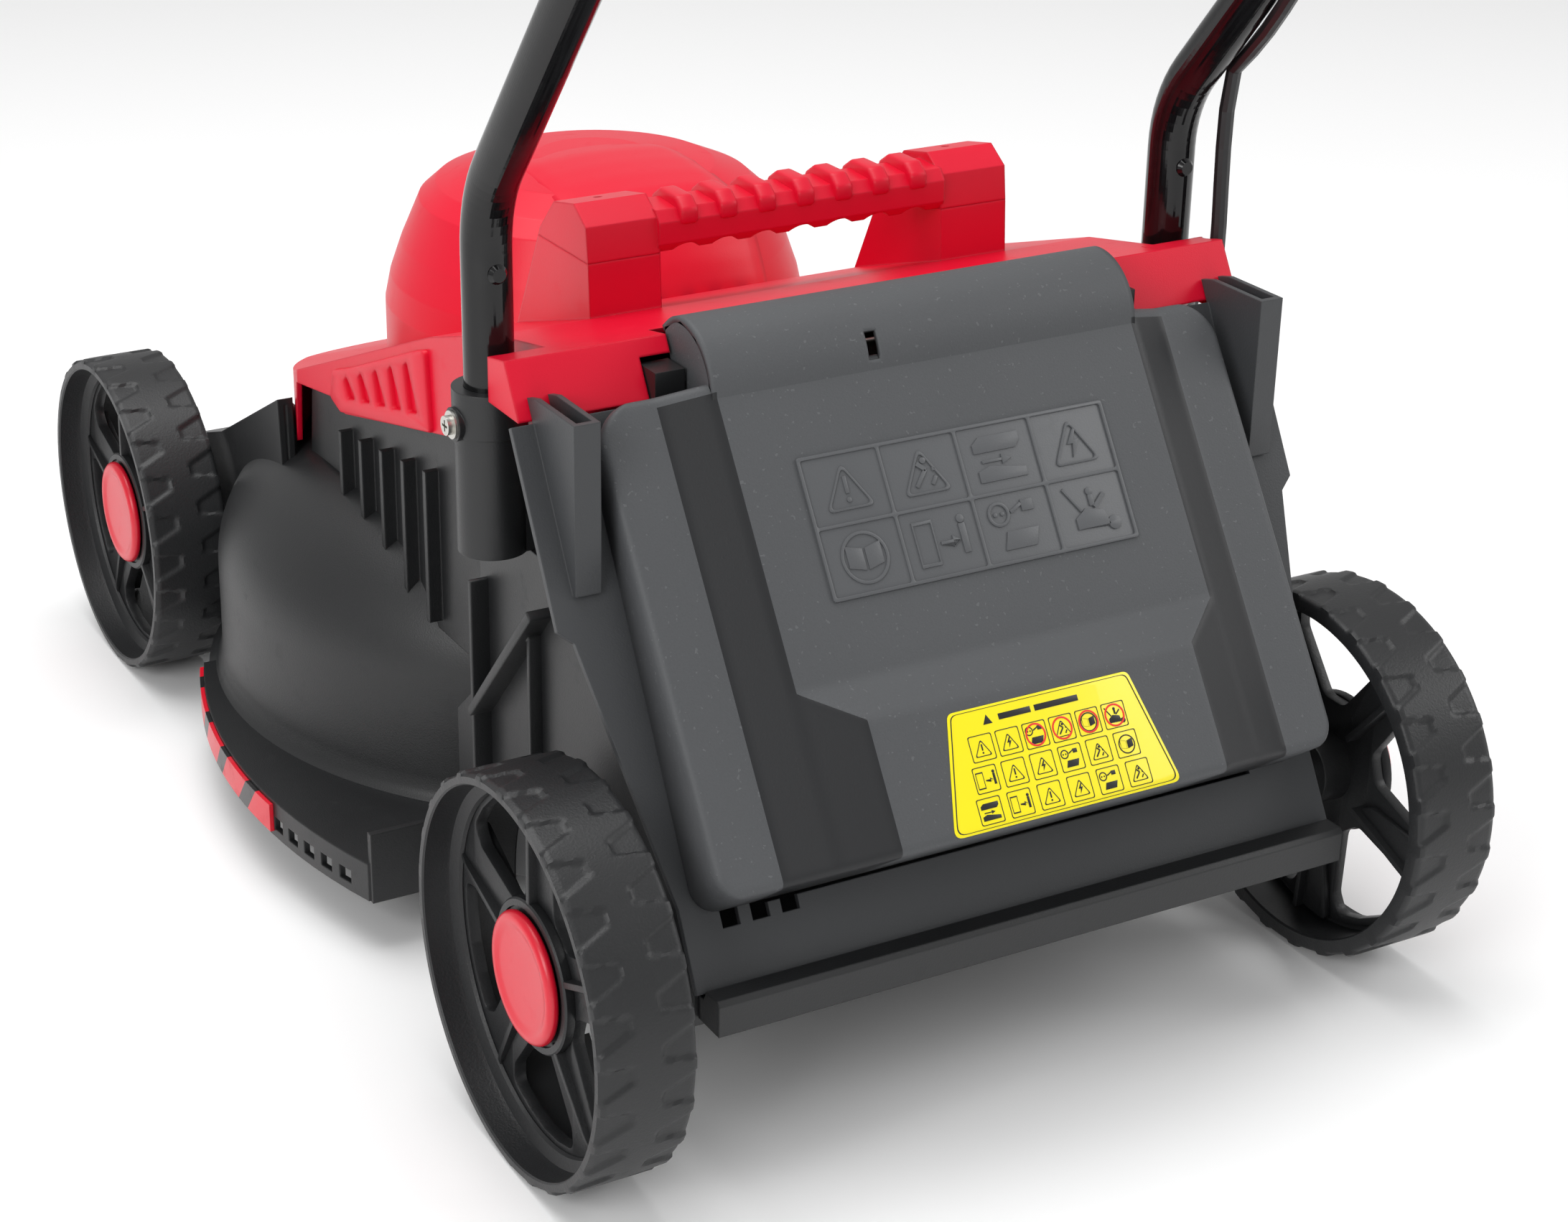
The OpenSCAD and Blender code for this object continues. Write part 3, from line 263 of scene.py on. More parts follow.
def skin(rings, around=True, along=False, caps=False):
    """A mesh through rings of equal length, closed around each ring, along them or at the ends."""
    size = len(rings[0])
    verts = [p for ring in rings for p in ring]
    faces = []
    for i in range(len(rings) if along else len(rings) - 1):
        j = (i + 1) % len(rings)
        for k in range(size if around else size - 1):
            m = (k + 1) % size
            faces.append((i * size + k, j * size + k, j * size + m, i * size + m))
    if caps:
        faces.append(tuple(range(size)))
        faces.append(tuple(reversed(range((len(rings) - 1) * size, len(rings) * size))))
    mesh = bpy.data.meshes.new("skin")
    mesh.from_pydata(verts, [], faces)
    return mesh


def moved(mesh, matrix):
    """The same mesh, moved."""
    mesh.transform(matrix)
    return mesh


def piece(name, parts, material, body, place=MOWER, sharp=32.0, solid=0.0):
    """Joins meshes into one piece that rides on a body, if one is named.

    sharp is the angle from which an edge stays crisp, solid the wall given to an open skin."""
    work = bmesh.new()
    for part in parts:
        part.transform(place)
        work.from_mesh(part)
        bpy.data.meshes.remove(part)
    bmesh.ops.remove_doubles(work, verts=work.verts, dist=2e-6)
    bmesh.ops.recalc_face_normals(work, faces=work.faces)
    mesh = bpy.data.meshes.new(name)
    work.to_mesh(mesh)
    work.free()
    mesh.materials.append(material)
    thing = bpy.data.objects.new(name, mesh)
    bpy.context.collection.objects.link(thing)
    if solid:
        wall = thing.modifiers.new("wall", "SOLIDIFY")
        wall.thickness = solid * MM
        wall.offset = -1.0
    mesh.shade_smooth()
    mesh.set_sharp_from_angle(angle=math.radians(sharp))
    if body:
        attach(thing, body)
    return thing


def circle(radius, count=48, x=0.0, y=0.0):
    """A round outline."""
    turns = [math.tau * k / count for k in range(count)]
    return [(x + radius * math.cos(a), y + radius * math.sin(a)) for a in turns]


def rounded(points, radius, steps=5):
    """An outline with its corners rounded."""
    result = []
    count = len(points)
    for i, corner in enumerate(points):
        c = Vector(corner)
        a = Vector(points[i - 1]) - c
        b = Vector(points[(i + 1) % count]) - c
        half = a.angle(b) / 2
        reach = min(radius / math.tan(half), a.length * 0.48, b.length * 0.48)
        start, end = c + a.normalized() * reach, c + b.normalized() * reach
        for k in range(steps + 1):
            t = k / steps
            result.append(tuple(start * (1 - t) ** 2 + c * 2 * t * (1 - t) + end * t**2))
    return result


def smooth(t):
    """An even step from 0 to 1 as t goes from 0 to 1."""
    t = min(max(t, 0.0), 1.0)
    return t * t * (3 - 2 * t)


WHEEL_R, WHEEL_HALF = 90.0, 22.0
POCKETS, POCKET_STEPS = 26, 18
HUB_PROFILE = [
    (6.08, -16.0), (16.5, -16.0), (17.0, -15.0), (17.5, 2.0), (33.5, 5.0), (34.0, 6.0), (34.0, 9.0),
    (33.2, 9.8), (30.4, 9.9), (30.2, 8.6), (16.0, 8.6), (16.0, 10.0), (6.08, 10.0),
]


def tread_radius(turn, across):
    """Radius of the tread; across runs from the outer face (+) to the inner face (-)."""
    pitch = math.tau * WHEEL_R / POCKETS
    depth = 0.0
    for side in (1, -1):
        inward = WHEEL_HALF - side * across
        along = (turn / math.tau * POCKETS + (0.0 if side > 0 else 0.5)) % 1.0 * pitch - pitch / 2
        lean = inward * 0.16 * side
        room = min(8.6 - inward * 0.3 - abs(along - lean), 16.0 - inward, (inward + 1.0) * 3)
        depth = max(depth, smooth(room / 1.5))
    return WHEEL_R - 1.3 * depth


def wheel_hoop():
    """The hoop: a tread with pockets and mould seam outside, lips and the disc's seat inside."""
    rows = [WHEEL_HALF - 0.6 - k * (2 * WHEEL_HALF - 1.2) / 30 for k in range(31)]
    back = [(87.0, -22.0), (81.5, -22.0), (80.8, -21.0), (81.5, -9.0), (82.2, 1.0), (78.5, 3.5),
            (78.0, 5.5), (78.8, 7.0), (83.4, 9.5), (84.0, 12.0), (84.2, 21.2), (84.9, 22.0), (87.8, 22.0)]
    rings = []
    for k in range(POCKETS * POCKET_STEPS):
        turn = math.tau * k / (POCKETS * POCKET_STEPS)
        ring = [(tread_radius(turn, w) - 0.9 * smooth((abs(w) - 20.4) / 1.4), w) for w in rows]
        ring += back
        rings.append([(r * math.cos(turn), r * math.sin(turn), w) for r, w in ring])
    return skin(rings, around=True, along=True)


def wheel_window(k):
    """One of the five windows between the spokes; its sides run along the spokes."""
    a = math.radians(36 + 72 * k)
    corners = [(33, -7), (60, -28), (70, -29), (74.5, -14), (76, 0), (74.5, 14), (70, 29), (60, 28)]
    corners.append((33, 7))
    turned = [(x * math.cos(a) - y * math.sin(a), x * math.sin(a) + y * math.cos(a)) for x, y in corners]
    return rounded(turned, 7.0)


def wheel_parts():
    """Hoop, disc, hub, and a rib and a sloping web on each of the five spokes."""
    disc = plate([circle(79.5, 96)] + [wheel_window(k) for k in range(5)] + [circle(12.0)], -1.0, 5.0, 0.8)
    hub = lathe(HUB_PROFILE, 64, closed=True)
    parts = [wheel_hoop(), disc, hub]
    for k in range(5):
        a = math.radians(72 * k + 4)
        rib = plate([[(29, -8.0), (79, -8.0), (79, 6.2), (70, 7.8), (33, 9.4), (29, 9.4)]], -1.5, 1.5, 0.5)
        turn = Matrix.Rotation(a, 4, "Z") @ Matrix.Rotation(math.pi / 2, 4, "X")
        parts.append(moved(rib, turn))
        blade = plate([rounded([(30, -1), (78, -1), (78, -19), (62, -15), (36, -8)], 3.0)], -4.5, -1.0, 0.6)
        parts.append(moved(blade, Matrix.Rotation(a, 4, "Z")))
    return parts


wheel_plastic = moulded("wheel_plastic", (0.0135, 0.014, 0.0150), 0.44, grain=0.0011, depth=0.00012,
                        shade=0.3, Specular_IOR_Level=0.45)
WHEELS = {
    "fl": "front_left_wheel",
    "fr": "front_right_wheel",
    "rl": "rear_left_wheel",
    "rr": "rear_right_wheel",
}


def wheel_place(corner):
    """Puts a wheel's own axis on its axle, with its outer face outwards."""
    middle = Vector(joints[WHEELS[corner]]["pos_m"])
    face = Matrix.Rotation(math.radians(90 if middle.x > 0 else -90), 4, "Y")
    return Matrix.Translation(middle) @ face @ Matrix.Scale(MM, 4)


for corner in WHEELS:
    parts = [moved(part, wheel_place(corner)) for part in wheel_parts()]
    wheel = piece("wheel_%s_moulding" % corner, parts, wheel_plastic, "wheel_%s_turns" % corner,
                  place=Matrix())
    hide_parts("wheel_" + corner)


# ---- hub caps ----
# Red ABS discs with a raised lip that snap into the hubs and hide the axle nuts. A small tab
# stands out of the edge of each.

cap_plastic = moulded("cap_plastic", (0.66, 0.003, 0.022), 0.34, grain=0.0005, depth=0.00002, shade=0.05,
                      Coat_Weight=0.15, Coat_Roughness=0.3)
CAP_PROFILE = [
    (0.01, 12.6), (13.5, 12.6), (14.2, 10.1), (28.4, 10.1), (29.2, 10.9), (29.2, 12.4), (28.6, 13.6),
    (27.4, 14.6), (25.6, 14.9), (24.0, 14.6), (22.6, 13.9), (20.4, 13.6), (0.01, 13.6),
]
for corner in WHEELS:
    cap = lathe(CAP_PROFILE, 72)
    clip = plate([rounded([(-3, 28.6), (3, 28.6), (3, 30.6), (-3, 30.6)], 0.8)], 10.2, 13.2, 0.4)
    parts = [moved(part, wheel_place(corner)) for part in (cap, clip)]
    hub_cap = piece("hub_cap_%s_disc" % corner, parts, cap_plastic, "wheel_%s_turns" % corner,
                    place=Matrix(), sharp=60)
    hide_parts("hub_cap_" + corner)


# ---- flap ----
# The rear flap is a grey moulded tray that hangs from a rod along its top. Its middle stands
# out in two steps, and two smooth darker strips run down the slopes beside it.

FLAP_TILT = math.radians(33.4)
FLAP_FOOT = (-59.5, 48.8)
FLAP_HALF, FLAP_LEN = 157.0, 210.0
STRIP_OUT, PANEL_HALF, LEDGE_HALF = 128.0, 107.0, 82.0
PANEL_OUT, LEDGE_OUT = 9.5, 20.0
LEDGE_LOW, LEDGE_HIGH = 58.0, 75.5
HINGE_Y, HINGE_Z = 73.0, 221.0
PLATE_LEAN = math.tan(math.radians(28.8))
flap_up = (0.0, math.sin(FLAP_TILT), math.cos(FLAP_TILT))
flap_out = (0.0, -math.cos(FLAP_TILT), math.sin(FLAP_TILT))
ON_FLAP = Matrix(((1, 0, 0, 0), (0, flap_up[1], flap_out[1], FLAP_FOOT[0]),
                  (0, flap_up[2], flap_out[2], FLAP_FOOT[1]), (0, 0, 0, 1)))


def flap_height(x, s):
    """How far the face stands out of the border, x across and s up the flap."""
    x = abs(x)
    upper = PANEL_OUT * min(max((STRIP_OUT - x) / (STRIP_OUT - PANEL_HALF), 0), 1)
    lower = LEDGE_OUT * min(max((STRIP_OUT - x) / (STRIP_OUT - LEDGE_HALF), 0), 1)
    step = (LEDGE_HIGH - s) / (LEDGE_HIGH - LEDGE_LOW)
    ledge = PANEL_OUT + (LEDGE_OUT - PANEL_OUT) * min(max(step, 0), 1)
    return max(upper, min(lower, ledge))


def flap_half(s):
    """Half width of the flap, less in its rounded corners."""
    top, low = max(s - (FLAP_LEN - 20.0), 0.0), max(12.0 - s, 0.0)
    return FLAP_HALF - (20.0 - math.sqrt(400.0 - top * top)) - (12.0 - math.sqrt(144.0 - low * low))


def edge_drop(gap, r=4.0):
    """Fall of a rounded edge of radius r at a distance gap inside it."""
    gap = min(max(gap, 0.0), r)
    return r - math.sqrt(r * r - (r - gap) ** 2)


def flap_tray():
    """The face of the tray as a fine skin, and its four walls."""
    near = [0.0, 0.5, 1.2, 2.2, 3.4, 5.0, 7.0, 9.5]
    rise = near + [12 + 1.8 * k for k in range(104)] + [FLAP_LEN - d for d in reversed(near)]
    across = [-FLAP_HALF + d for d in near] + [-146 + 2.0 * k for k in range(147)]
    across += [FLAP_HALF - d for d in reversed(near)]
    rings = []
    for s in rise:
        half = flap_half(s)
        ring = []
        for a in across:
            x = a * half / FLAP_HALF
            h = sum(flap_height(x + dx, s + ds) for dx in (-1.3, 0, 1.3) for ds in (-1.3, 0, 1.3)) / 9
            drop = max(edge_drop(half - abs(x)), edge_drop(s), edge_drop(FLAP_LEN - s))
            ring.append(ON_FLAP @ Vector((x, s, h - drop)))
        rings.append(ring)
    face = skin(rings, around=False)
    # the four walls of the tray run back to just short of the rear plate
    loop = [(point, 0.0) for point in rings[0]]
    loop += [(rings[i][-1], rise[i]) for i in range(1, len(rise))]
    loop += [(rings[-1][k], FLAP_LEN) for k in reversed(range(len(across) - 1))]
    loop += [(rings[i][0], rise[i]) for i in reversed(range(1, len(rise) - 1))]
    back = []
    for point, s in loop:
        border = ON_FLAP @ Vector((point[0], s, 0.0))
        z = border.z - 18.0 + 7.0 * s / FLAP_LEN
        back.append(Vector((point[0], -50.0 + PLATE_LEAN * (z - 3.0) - 0.8, z)))
    walls = skin([[p for p, _ in loop], back], around=True)
    return [face, walls]


def flap_hump():
    """The shell that wraps the hinge rod, with its slit."""
    across = sorted(set([-PANEL_HALF + 2.675 * k for k in range(81)] + [-31.0, -25.0]))
    turns = [math.radians(52 + 3.2 * k) for k in range(41)]
    verts = []
    for a in turns:
        r = 29.0 - 2.6 * smooth((math.radians(86) - a) / math.radians(34))
        verts += [(x, HINGE_Y + r * math.cos(a), HINGE_Z + r * math.sin(a)) for x in across]
    faces = []
    size = len(across)
    for i in range(len(turns) - 1):
        for k in range(size - 1):
            in_slit = across[k] >= -31.1 and across[k + 1] <= -24.9
            if in_slit and math.radians(139) < turns[i] < math.radians(166):
                continue
            faces.append((i * size + k, i * size + k + 1, (i + 1) * size + k + 1, (i + 1) * size + k))
    mesh = bpy.data.meshes.new("hump")
    mesh.from_pydata(verts, [], faces)
    return mesh


def flap_mask(finish):
    """1 on the two darker strips, 0 elsewhere."""
    x, y, z = finish.axes()
    y0 = rear_axle_at.y + FLAP_FOOT[0] * MM
    z0 = rear_axle_at.z + FLAP_FOOT[1] * MM
    s = (y - y0) * flap_up[1] + (z - z0) * flap_up[2]
    rise = finish.node("ShaderNodeMapRange", {}, {
        "Value": s, "From Min": LEDGE_LOW * MM, "From Max": LEDGE_HIGH * MM,
        "To Min": LEDGE_HALF * MM, "To Max": (PANEL_HALF - 2) * MM})
    inner = abs(x) > rise
    outer = abs(x) < (STRIP_OUT + 0.5) * MM
    return inner * outer * (s < (FLAP_LEN - 5) * MM)


flap_finish = Finish("flap_plastic", (0.066, 0.069, 0.073), 0.52, Specular_IOR_Level=0.4)
slow = flap_finish.noise(0.11, 3.0)
fine = flap_finish.noise(0.0009, 2.0)
flecks = flap_finish.noise(0.0022, 1.0).ramp(0.70, 0.74)
strip = flap_mask(flap_finish)
grey = flap_finish.mix((0.054, 0.0565, 0.060), (0.080, 0.083, 0.088), slow * 0.5 + fine * 0.5)
grey = flap_finish.mix(grey, (0.15, 0.155, 0.16), flecks * 0.35)
flap_finish.feed("Base Color", flap_finish.mix(grey, (0.012, 0.0125, 0.014), strip))
flap_finish.feed("Roughness", slow * 0.08 + fine * 0.1 + 0.47 - strip * 0.09)
flap_finish.bump((fine + flecks * 0.5) * (1 - strip * 0.7), 0.00011)
flap_plastic = flap_finish.material

flap_piece = piece("flap_tray", flap_tray(), flap_plastic, "flap_door", sharp=50, solid=2.6)
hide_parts("flap")
hump_piece = piece("flap_hump", [flap_hump()], flap_plastic, "flap_door", sharp=50, solid=2.8)

# two outer and two inner ears that carry the hump on the rod
EAR = [(4, -4), (15, 21), (0, 28), (-14, 24), (-27.5, 6), (-31, -16), (-12, -8)]
ear = [(HINGE_Y + y, HINGE_Z + z) for y, z in EAR]
STANDING = Matrix(((0, 0, 1, 0), (1, 0, 0, 0), (0, 1, 0, 0), (0, 0, 0, 1)))
ears = [moved(plate([ear, circle(3.0, 24, HINGE_Y, HINGE_Z)], x, x + 5, 0.6), STANDING)
        for x in (-PANEL_HALF, -54, 49, PANEL_HALF - 5)]
flap_ears = piece("flap_ears", ears, flap_plastic, "flap_door")


# ---- relief plate on the flap ----
# A raised frame of eight cells moulded in one with the flap. Each cell holds a plain sign
# drawn in low relief: keep clear, mind the blade, read the book, pull the plug.

CELL_W, CELL_H = 38.3, 30.5
RELIEF_LOW = 109.5


def ring_of(outline, width):
    """An outline and its inset copy, as the two edges of a line."""
    middle = sum((Vector(p) for p in outline), Vector((0.0, 0.0))) / len(outline)
    reach = max((Vector(p) - middle).length for p in outline)
    return [outline, [tuple(middle + (Vector(p) - middle) * (1 - width / reach)) for p in outline]]


def line(a, b, width):
    """A straight stroke between two points."""
    a, b = Vector(a), Vector(b)
    side = (b - a).orthogonal().normalized() * width / 2
    return [tuple(a + side), tuple(b + side), tuple(b - side), tuple(a - side)]


def box2(x, y, w, h):
    """A rectangle about its middle."""
    return [(x - w / 2, y - h / 2), (x + w / 2, y - h / 2), (x + w / 2, y + h / 2), (x - w / 2, y + h / 2)]


triangle = rounded([(-12, -9.5), (12, -9.5), (0, 11)], 2.2)
SIGNS = [
    ring_of(triangle, 1.8) + [box2(0, 1.2, 1.9, 7.5), circle(1.2, 12, 0, -5.3)],
    ring_of(triangle, 1.8)
    + [line((-5, -6), (1, 1), 1.8), line((1, 1), (-2.5, 4), 1.5), circle(1.5, 12, 0.8, 5)]
    + [line((3, -6), (5.5, -2.5), 1.6), box2(5, 0.6, 1.7, 1.7)],
    [[(-12, 3), (9, 3), (12, 6), (12, 10), (-8, 10), (-12, 7)],
     [(-12, -10), (12, -10), (12, -6), (-6, -3), (-12, -5)],
     line((-9, -1), (1, -1), 1.3), [(1, -3.2), (6, -1), (1, 1.2)]],
    ring_of(triangle, 1.8)
    + [[(1.5, 6), (-3, -0.6), (-0.2, -0.6), (-1.6, -6.6), (3.4, 1.2), (0.6, 1.2), (3, 6)]],
    ring_of(circle(11.5, 40), 1.5) + [[(-8.5, -3.5), (-0.6, -5.5), (-0.6, 4), (-8.5, 6)],
                                      [(8.5, -3.5), (0.6, -5.5), (0.6, 4), (8.5, 6)]],
    ring_of(box2(-8, 0, 10, 20), 1.7) + [line((-1, -1), (6, -1), 1.5), [(5, -3.6), (9, -1), (5, 1.6)],
                                         circle(1.9, 16, 11, 8), box2(11, -0.5, 3.2, 13)],
    ring_of(circle(5.5, 28, -8, 6), 1.4) + [circle(1, 10, -9.8, 6), circle(1, 10, -6.2, 6),
                                            line((-2, 6), (4, 9), 1.5), box2(7, 8, 6, 5),
                                            [(-9, -10), (7, -10), (10, -2), (-6, -2)]],
    [[(-9, -8), (8, -8), (6, -1), (-3, 1), (-9, -3)],
     line((-5, 0), (-12, 11), 1.5), circle(3.2, 20, 10, -7.5),
     line((2, 1), (8, 6), 1.4), circle(1.8, 16, 1, 8), box2(1, 4, 2.6, 5)],
]


def shifted(loops, x, y, size=1.0):
    """Outlines resized and moved."""
    return [[(x + p[0] * size, y + p[1] * size) for p in loop] for loop in loops]


relief_frame = [rounded(box2(0, RELIEF_LOW + CELL_H, CELL_W * 4 + 1.6, CELL_H * 2 + 1.6), 1.5)]
relief_signs = []
for k, sign in enumerate(SIGNS):
    cx, cy = (k % 4 - 1.5) * CELL_W, RELIEF_LOW + CELL_H * (1.5 - k // 4)
    relief_frame.append(rounded(box2(cx, cy, CELL_W - 1.5, CELL_H - 1.5), 1.2))
    relief_signs += shifted(sign, cx, cy)
relief = [moved(plate(relief_frame, PANEL_OUT - 0.4, PANEL_OUT + 1.1, 0.25), ON_FLAP),
          moved(plate([rounded(box2(0, RELIEF_LOW + CELL_H, CELL_W * 4, CELL_H * 2), 1)], PANEL_OUT - 0.4,
                      PANEL_OUT + 0.35, 0.2), ON_FLAP),
          moved(plate(relief_signs, PANEL_OUT, PANEL_OUT + 1.0, 0.25), ON_FLAP)]
relief_plastic = moulded("relief_plastic", (0.082, 0.085, 0.090), 0.42, grain=0.0008, depth=0.00005)
relief_piece = piece("relief_plate", relief, relief_plastic, "flap_door")


# ---- yellow label ----
# A printed vinyl label on the lower step of the flap, with a heading bar and three rows of
# small plain signs in black, and red rings round four of them.

LABEL = rounded([(-57.5, 1.5), (57.5, 1.5), (45.5, 52.5), (-45.5, 52.5)], 3.5)
label_paint = moulded("label_vinyl", (0.86, 0.74, 0.0), 0.38, grain=0.02, depth=0.00001, shade=0.03,
                      Coat_Weight=0.2)
ink_paint = moulded("label_ink", (0.012, 0.012, 0.012), 0.4, grain=0.01, depth=0.00001)
red_paint = moulded("label_red", (0.75, 0.03, 0.02), 0.4, grain=0.01, depth=0.00001)
ink = ring_of([(p[0] * 0.975, (p[1] - 27) * 0.96 + 27) for p in LABEL], 0.6)
ink += [box2(-14, 46.5, 16, 2.6), box2(7, 46.5, 22, 2.6), [(-30, 44.6), (-25.4, 44.6), (-27.7, 48.6)]]
rings_red = []
for row, (y, pitch) in enumerate([(35.5, 13.4), (22.5, 14.2), (9.5, 15.0)]):
    for k in range(6):
        x = (k - 2.5) * pitch
        ink += ring_of(rounded(box2(x, y, 11.6, 11.2), 1.0), 0.5)
        ink += shifted(SIGNS[(k * 3 + row * 5) % 8], x, y - 0.2, 0.36)
        if row == 0 and k > 1:
            rings_red += shifted(ring_of(circle(12.5, 28), 2.0), x, y, 0.4)
for name, loops, low, high, paint in [
    ("label_sheet", [LABEL], 0.0, 0.25, label_paint),
    ("label_print", ink, 0.2, 0.36, ink_paint),
    ("label_rings", rings_red, 0.22, 0.40, red_paint),
]:
    sheet = moved(plate(loops, LEDGE_OUT + low, LEDGE_OUT + high, 0.04), ON_FLAP)
    label_part = piece(name, [sheet], paint, "flap_door")


# ---- deck ----
# One black polypropylene moulding: blade housing, rim, chute tower and nose. The round
# housing has a soft shoulder, and thin ribs stiffen the sides of the tower. The bar across
# its foot and the bumper strips on its rim are clipped on.

BLADE_Y, AXLE_UP = 370.0, 90.0


def dress(names, material, sharp=30.0):
    """Gives CAD parts their finish and smooth shading."""
    for name in names:
        mesh = nodes[name].data
        mesh.materials.clear()
        mesh.materials.append(material)
        mesh.shade_smooth()
        mesh.set_sharp_from_angle(angle=math.radians(sharp))


deck_plastic = moulded("deck_plastic", (0.0105, 0.011, 0.0118), 0.42, grain=0.0008, depth=0.00009,
                       shade=0.2, edge=0.0012)
dress(["deck"], deck_plastic, sharp=50.0)
dress(["rear_bar"], deck_plastic)

# radius and height above ground, from the fillet at the rim up and over the shoulder
SHOULDER_STEPS = 16
SHOULDER = [(213.5, 46.0), (209.0, 48.5), (206.8, 53.0), (205.6, 60.0), (205.3, 84.0), (205.2, 108.0)]
for k in range(1, SHOULDER_STEPS + 1):
    a = math.radians(80 * k / SHOULDER_STEPS)
    late = (k / SHOULDER_STEPS) ** 2
    SHOULDER.append((205.2 - 42.0 * (1 - math.cos(a)) - 9 * late, 108.0 + 52.0 * math.sin(a) + 11 * late))
SHOULDER += [(152.0, 174.8), (147.5, 176.0)]
volute = moved(lathe(SHOULDER, 180), Matrix.Translation((0, BLADE_Y, -AXLE_UP)))
volute = piece("blade_housing_skin", [volute], deck_plastic, "chassis", sharp=60, solid=0.8)

# outline of each rib from the side, and how far out it reaches
TOWER_RIBS = [
    ([(84, 120), (88, 123), (154, 48), (151, 45)], 174),
    ([(151, -24), (154, -24), (154, 112), (151, 112)], 172),
    ([(96, -30), (99, -30), (99, 110), (96, 110)], 169),
]
MIRROR = Matrix.Scale(-1, 4, (1, 0, 0))
for tag, place in (("l", MIRROR), ("r", Matrix())):
    ribs = [moved(plate([rounded(outline, 1.0)], 158, reach, 0.6), place @ STANDING)
            for outline, reach in TOWER_RIBS]
    brace = piece("tower_brace_" + tag, ribs, deck_plastic, "chassis")


# ---- side guards ----
# Red plastic strips that clip to the rim, printed with slanted black bars and a little worn.

GUARD_RED, GUARD_BLACK = (0.66, 0.003, 0.02), (0.011, 0.011, 0.012)
BAR_PITCH, BAR_WIDTH, BAR_SLANT = 0.042, 0.013, 0.8
guard = Finish("guard_plastic", GUARD_RED, 0.36, Coat_Weight=0.1)
x, y, z = guard.axes()
# the 10 keeps the sum positive all along the strip
bars = (y + z * BAR_SLANT + 10.0) % BAR_PITCH < BAR_WIDTH
wear = guard.noise(0.01, 5.0).ramp(0.55, 0.7)
striped = guard.mix(GUARD_RED, GUARD_BLACK, bars)
guard.feed("Base Color", guard.mix(striped, (0.1, 0.08, 0.08), wear * 0.12))
guard.feed("Roughness", guard.noise(0.03) * 0.1 + 0.32 + wear * 0.1)
guard.bump(guard.noise(0.0007), 0.00003, 0.0006)
dress(["bumper_l", "bumper_r"], guard.material)


# ---- rear plate and hinge blocks ----
# A grey moulded plate with the catcher's hooks closes the back of the deck. Two black blocks
# on the deck carry the flap's rod.

grey_plastic = moulded("plate_plastic", (0.042, 0.044, 0.047), 0.48, grain=0.0009, depth=0.0001,
                       edge=0.0009)
clip_plastic = moulded("clip_plastic", (0.0095, 0.010, 0.0108), 0.40, grain=0.0008, depth=0.00006,
                       edge=0.0007)
dress(["rear_plate"], grey_plastic)
dress(["hinge_block_l", "hinge_block_r"], clip_plastic)


# ---- motor cover ----
# The red hood is one ABS moulding. It carries a raised panel over the back of its dome and a
# vent block with slanted cuts on each flank.

cover_plastic = moulded("cover_plastic", (0.66, 0.002, 0.024), 0.36, grain=0.0006, depth=0.00004,
                        shade=0.05, edge=0.0015, Specular_IOR_Level=0.32)
dress(["motor_cover"], cover_plastic)

# distance behind the dome's axis and height above ground, up the back and over the top
DOME_LINE = [
    (111.0, 254.0), (108.5, 262.0), (102.5, 280.0), (97.0, 292.0), (90.5, 304.0), (81.0, 312.0),
    (63.0, 320.0), (45.0, 323.2), (28.0, 325.0), (8.0, 326.0), (-12.0, 325.6), (-30.0, 324.6),
]
PANEL_LOW_HALF, PANEL_TAPER = 51.0, 8.0
PANEL_LIFT = 1.6


def dome_panel():
    """A panel a little flatter than the dome, sunk into it at both ends."""
    spine = []
    for (r0, z0), (r1, z1) in zip(DOME_LINE, DOME_LINE[1:]):
        spine += [(r0 + (r1 - r0) * k / 4, z0 + (z1 - z0) * k / 4) for k in range(4)]
    spine.append(DOME_LINE[-1])
    last = len(spine)
    rings = []
    for i, (r, z) in enumerate(spine):
        before, after = spine[max(i - 3, 0)], spine[min(i + 3, last - 1)]
        along = Vector((0, -(after[0] - before[0]), after[1] - before[1])).normalized()
        out = Vector((0, -along.z, along.y))
        half = PANEL_LOW_HALF - PANEL_TAPER * i / last - 7.0 * smooth((i - last + 8) / 8)
        sink = 3.2 * smooth((i - last + 10) / 9) + 2.4 * smooth((4 - i) / 4)
        ring = []
        for k in range(-16, 17):
            x = half * k / 16
            sag = x * x / 2 * (out.y ** 2 / 165 + out.z ** 2 / 280)
            edge = 1.6 * smooth((abs(k) - 12) / 4) ** 2
            ring.append(Vector((x, BLADE_Y - r, z - AXLE_UP)) + out * (PANEL_LIFT - sag - edge - sink))
        rings.append(ring)
    return skin(rings, around=False)


panel = piece("dome_panel", [dome_panel()], cover_plastic, "chassis", sharp=60, solid=6.0)

vents = [rounded([(222, 157), (335, 130), (349, 134), (344, 150), (322, 158), (240, 192), (226, 197)], 3.0)]
for k in range(5):
    y = 236 + 19.5 * k
    low, high = 164 - 0.24 * (y - 222), 191 - 0.415 * (y - 222)
    vents.append(rounded([(y, low + 2), (y + 11, low - 1), (y + 15, high - 4), (y + 11, high - 1)], 1.6))
for tag, place in (("l", MIRROR), ("r", Matrix())):
    block = moved(plate(vents, 153.0, 160.0, 1.8), place @ STANDING)
    block = piece("cover_vents_" + tag, [block], cover_plastic, "chassis", sharp=40)


# ---- carry handle ----
# The upper half of the carry handle is screwed to the hood's two feet. Seven ribs cross the
# top of its bar for grip.

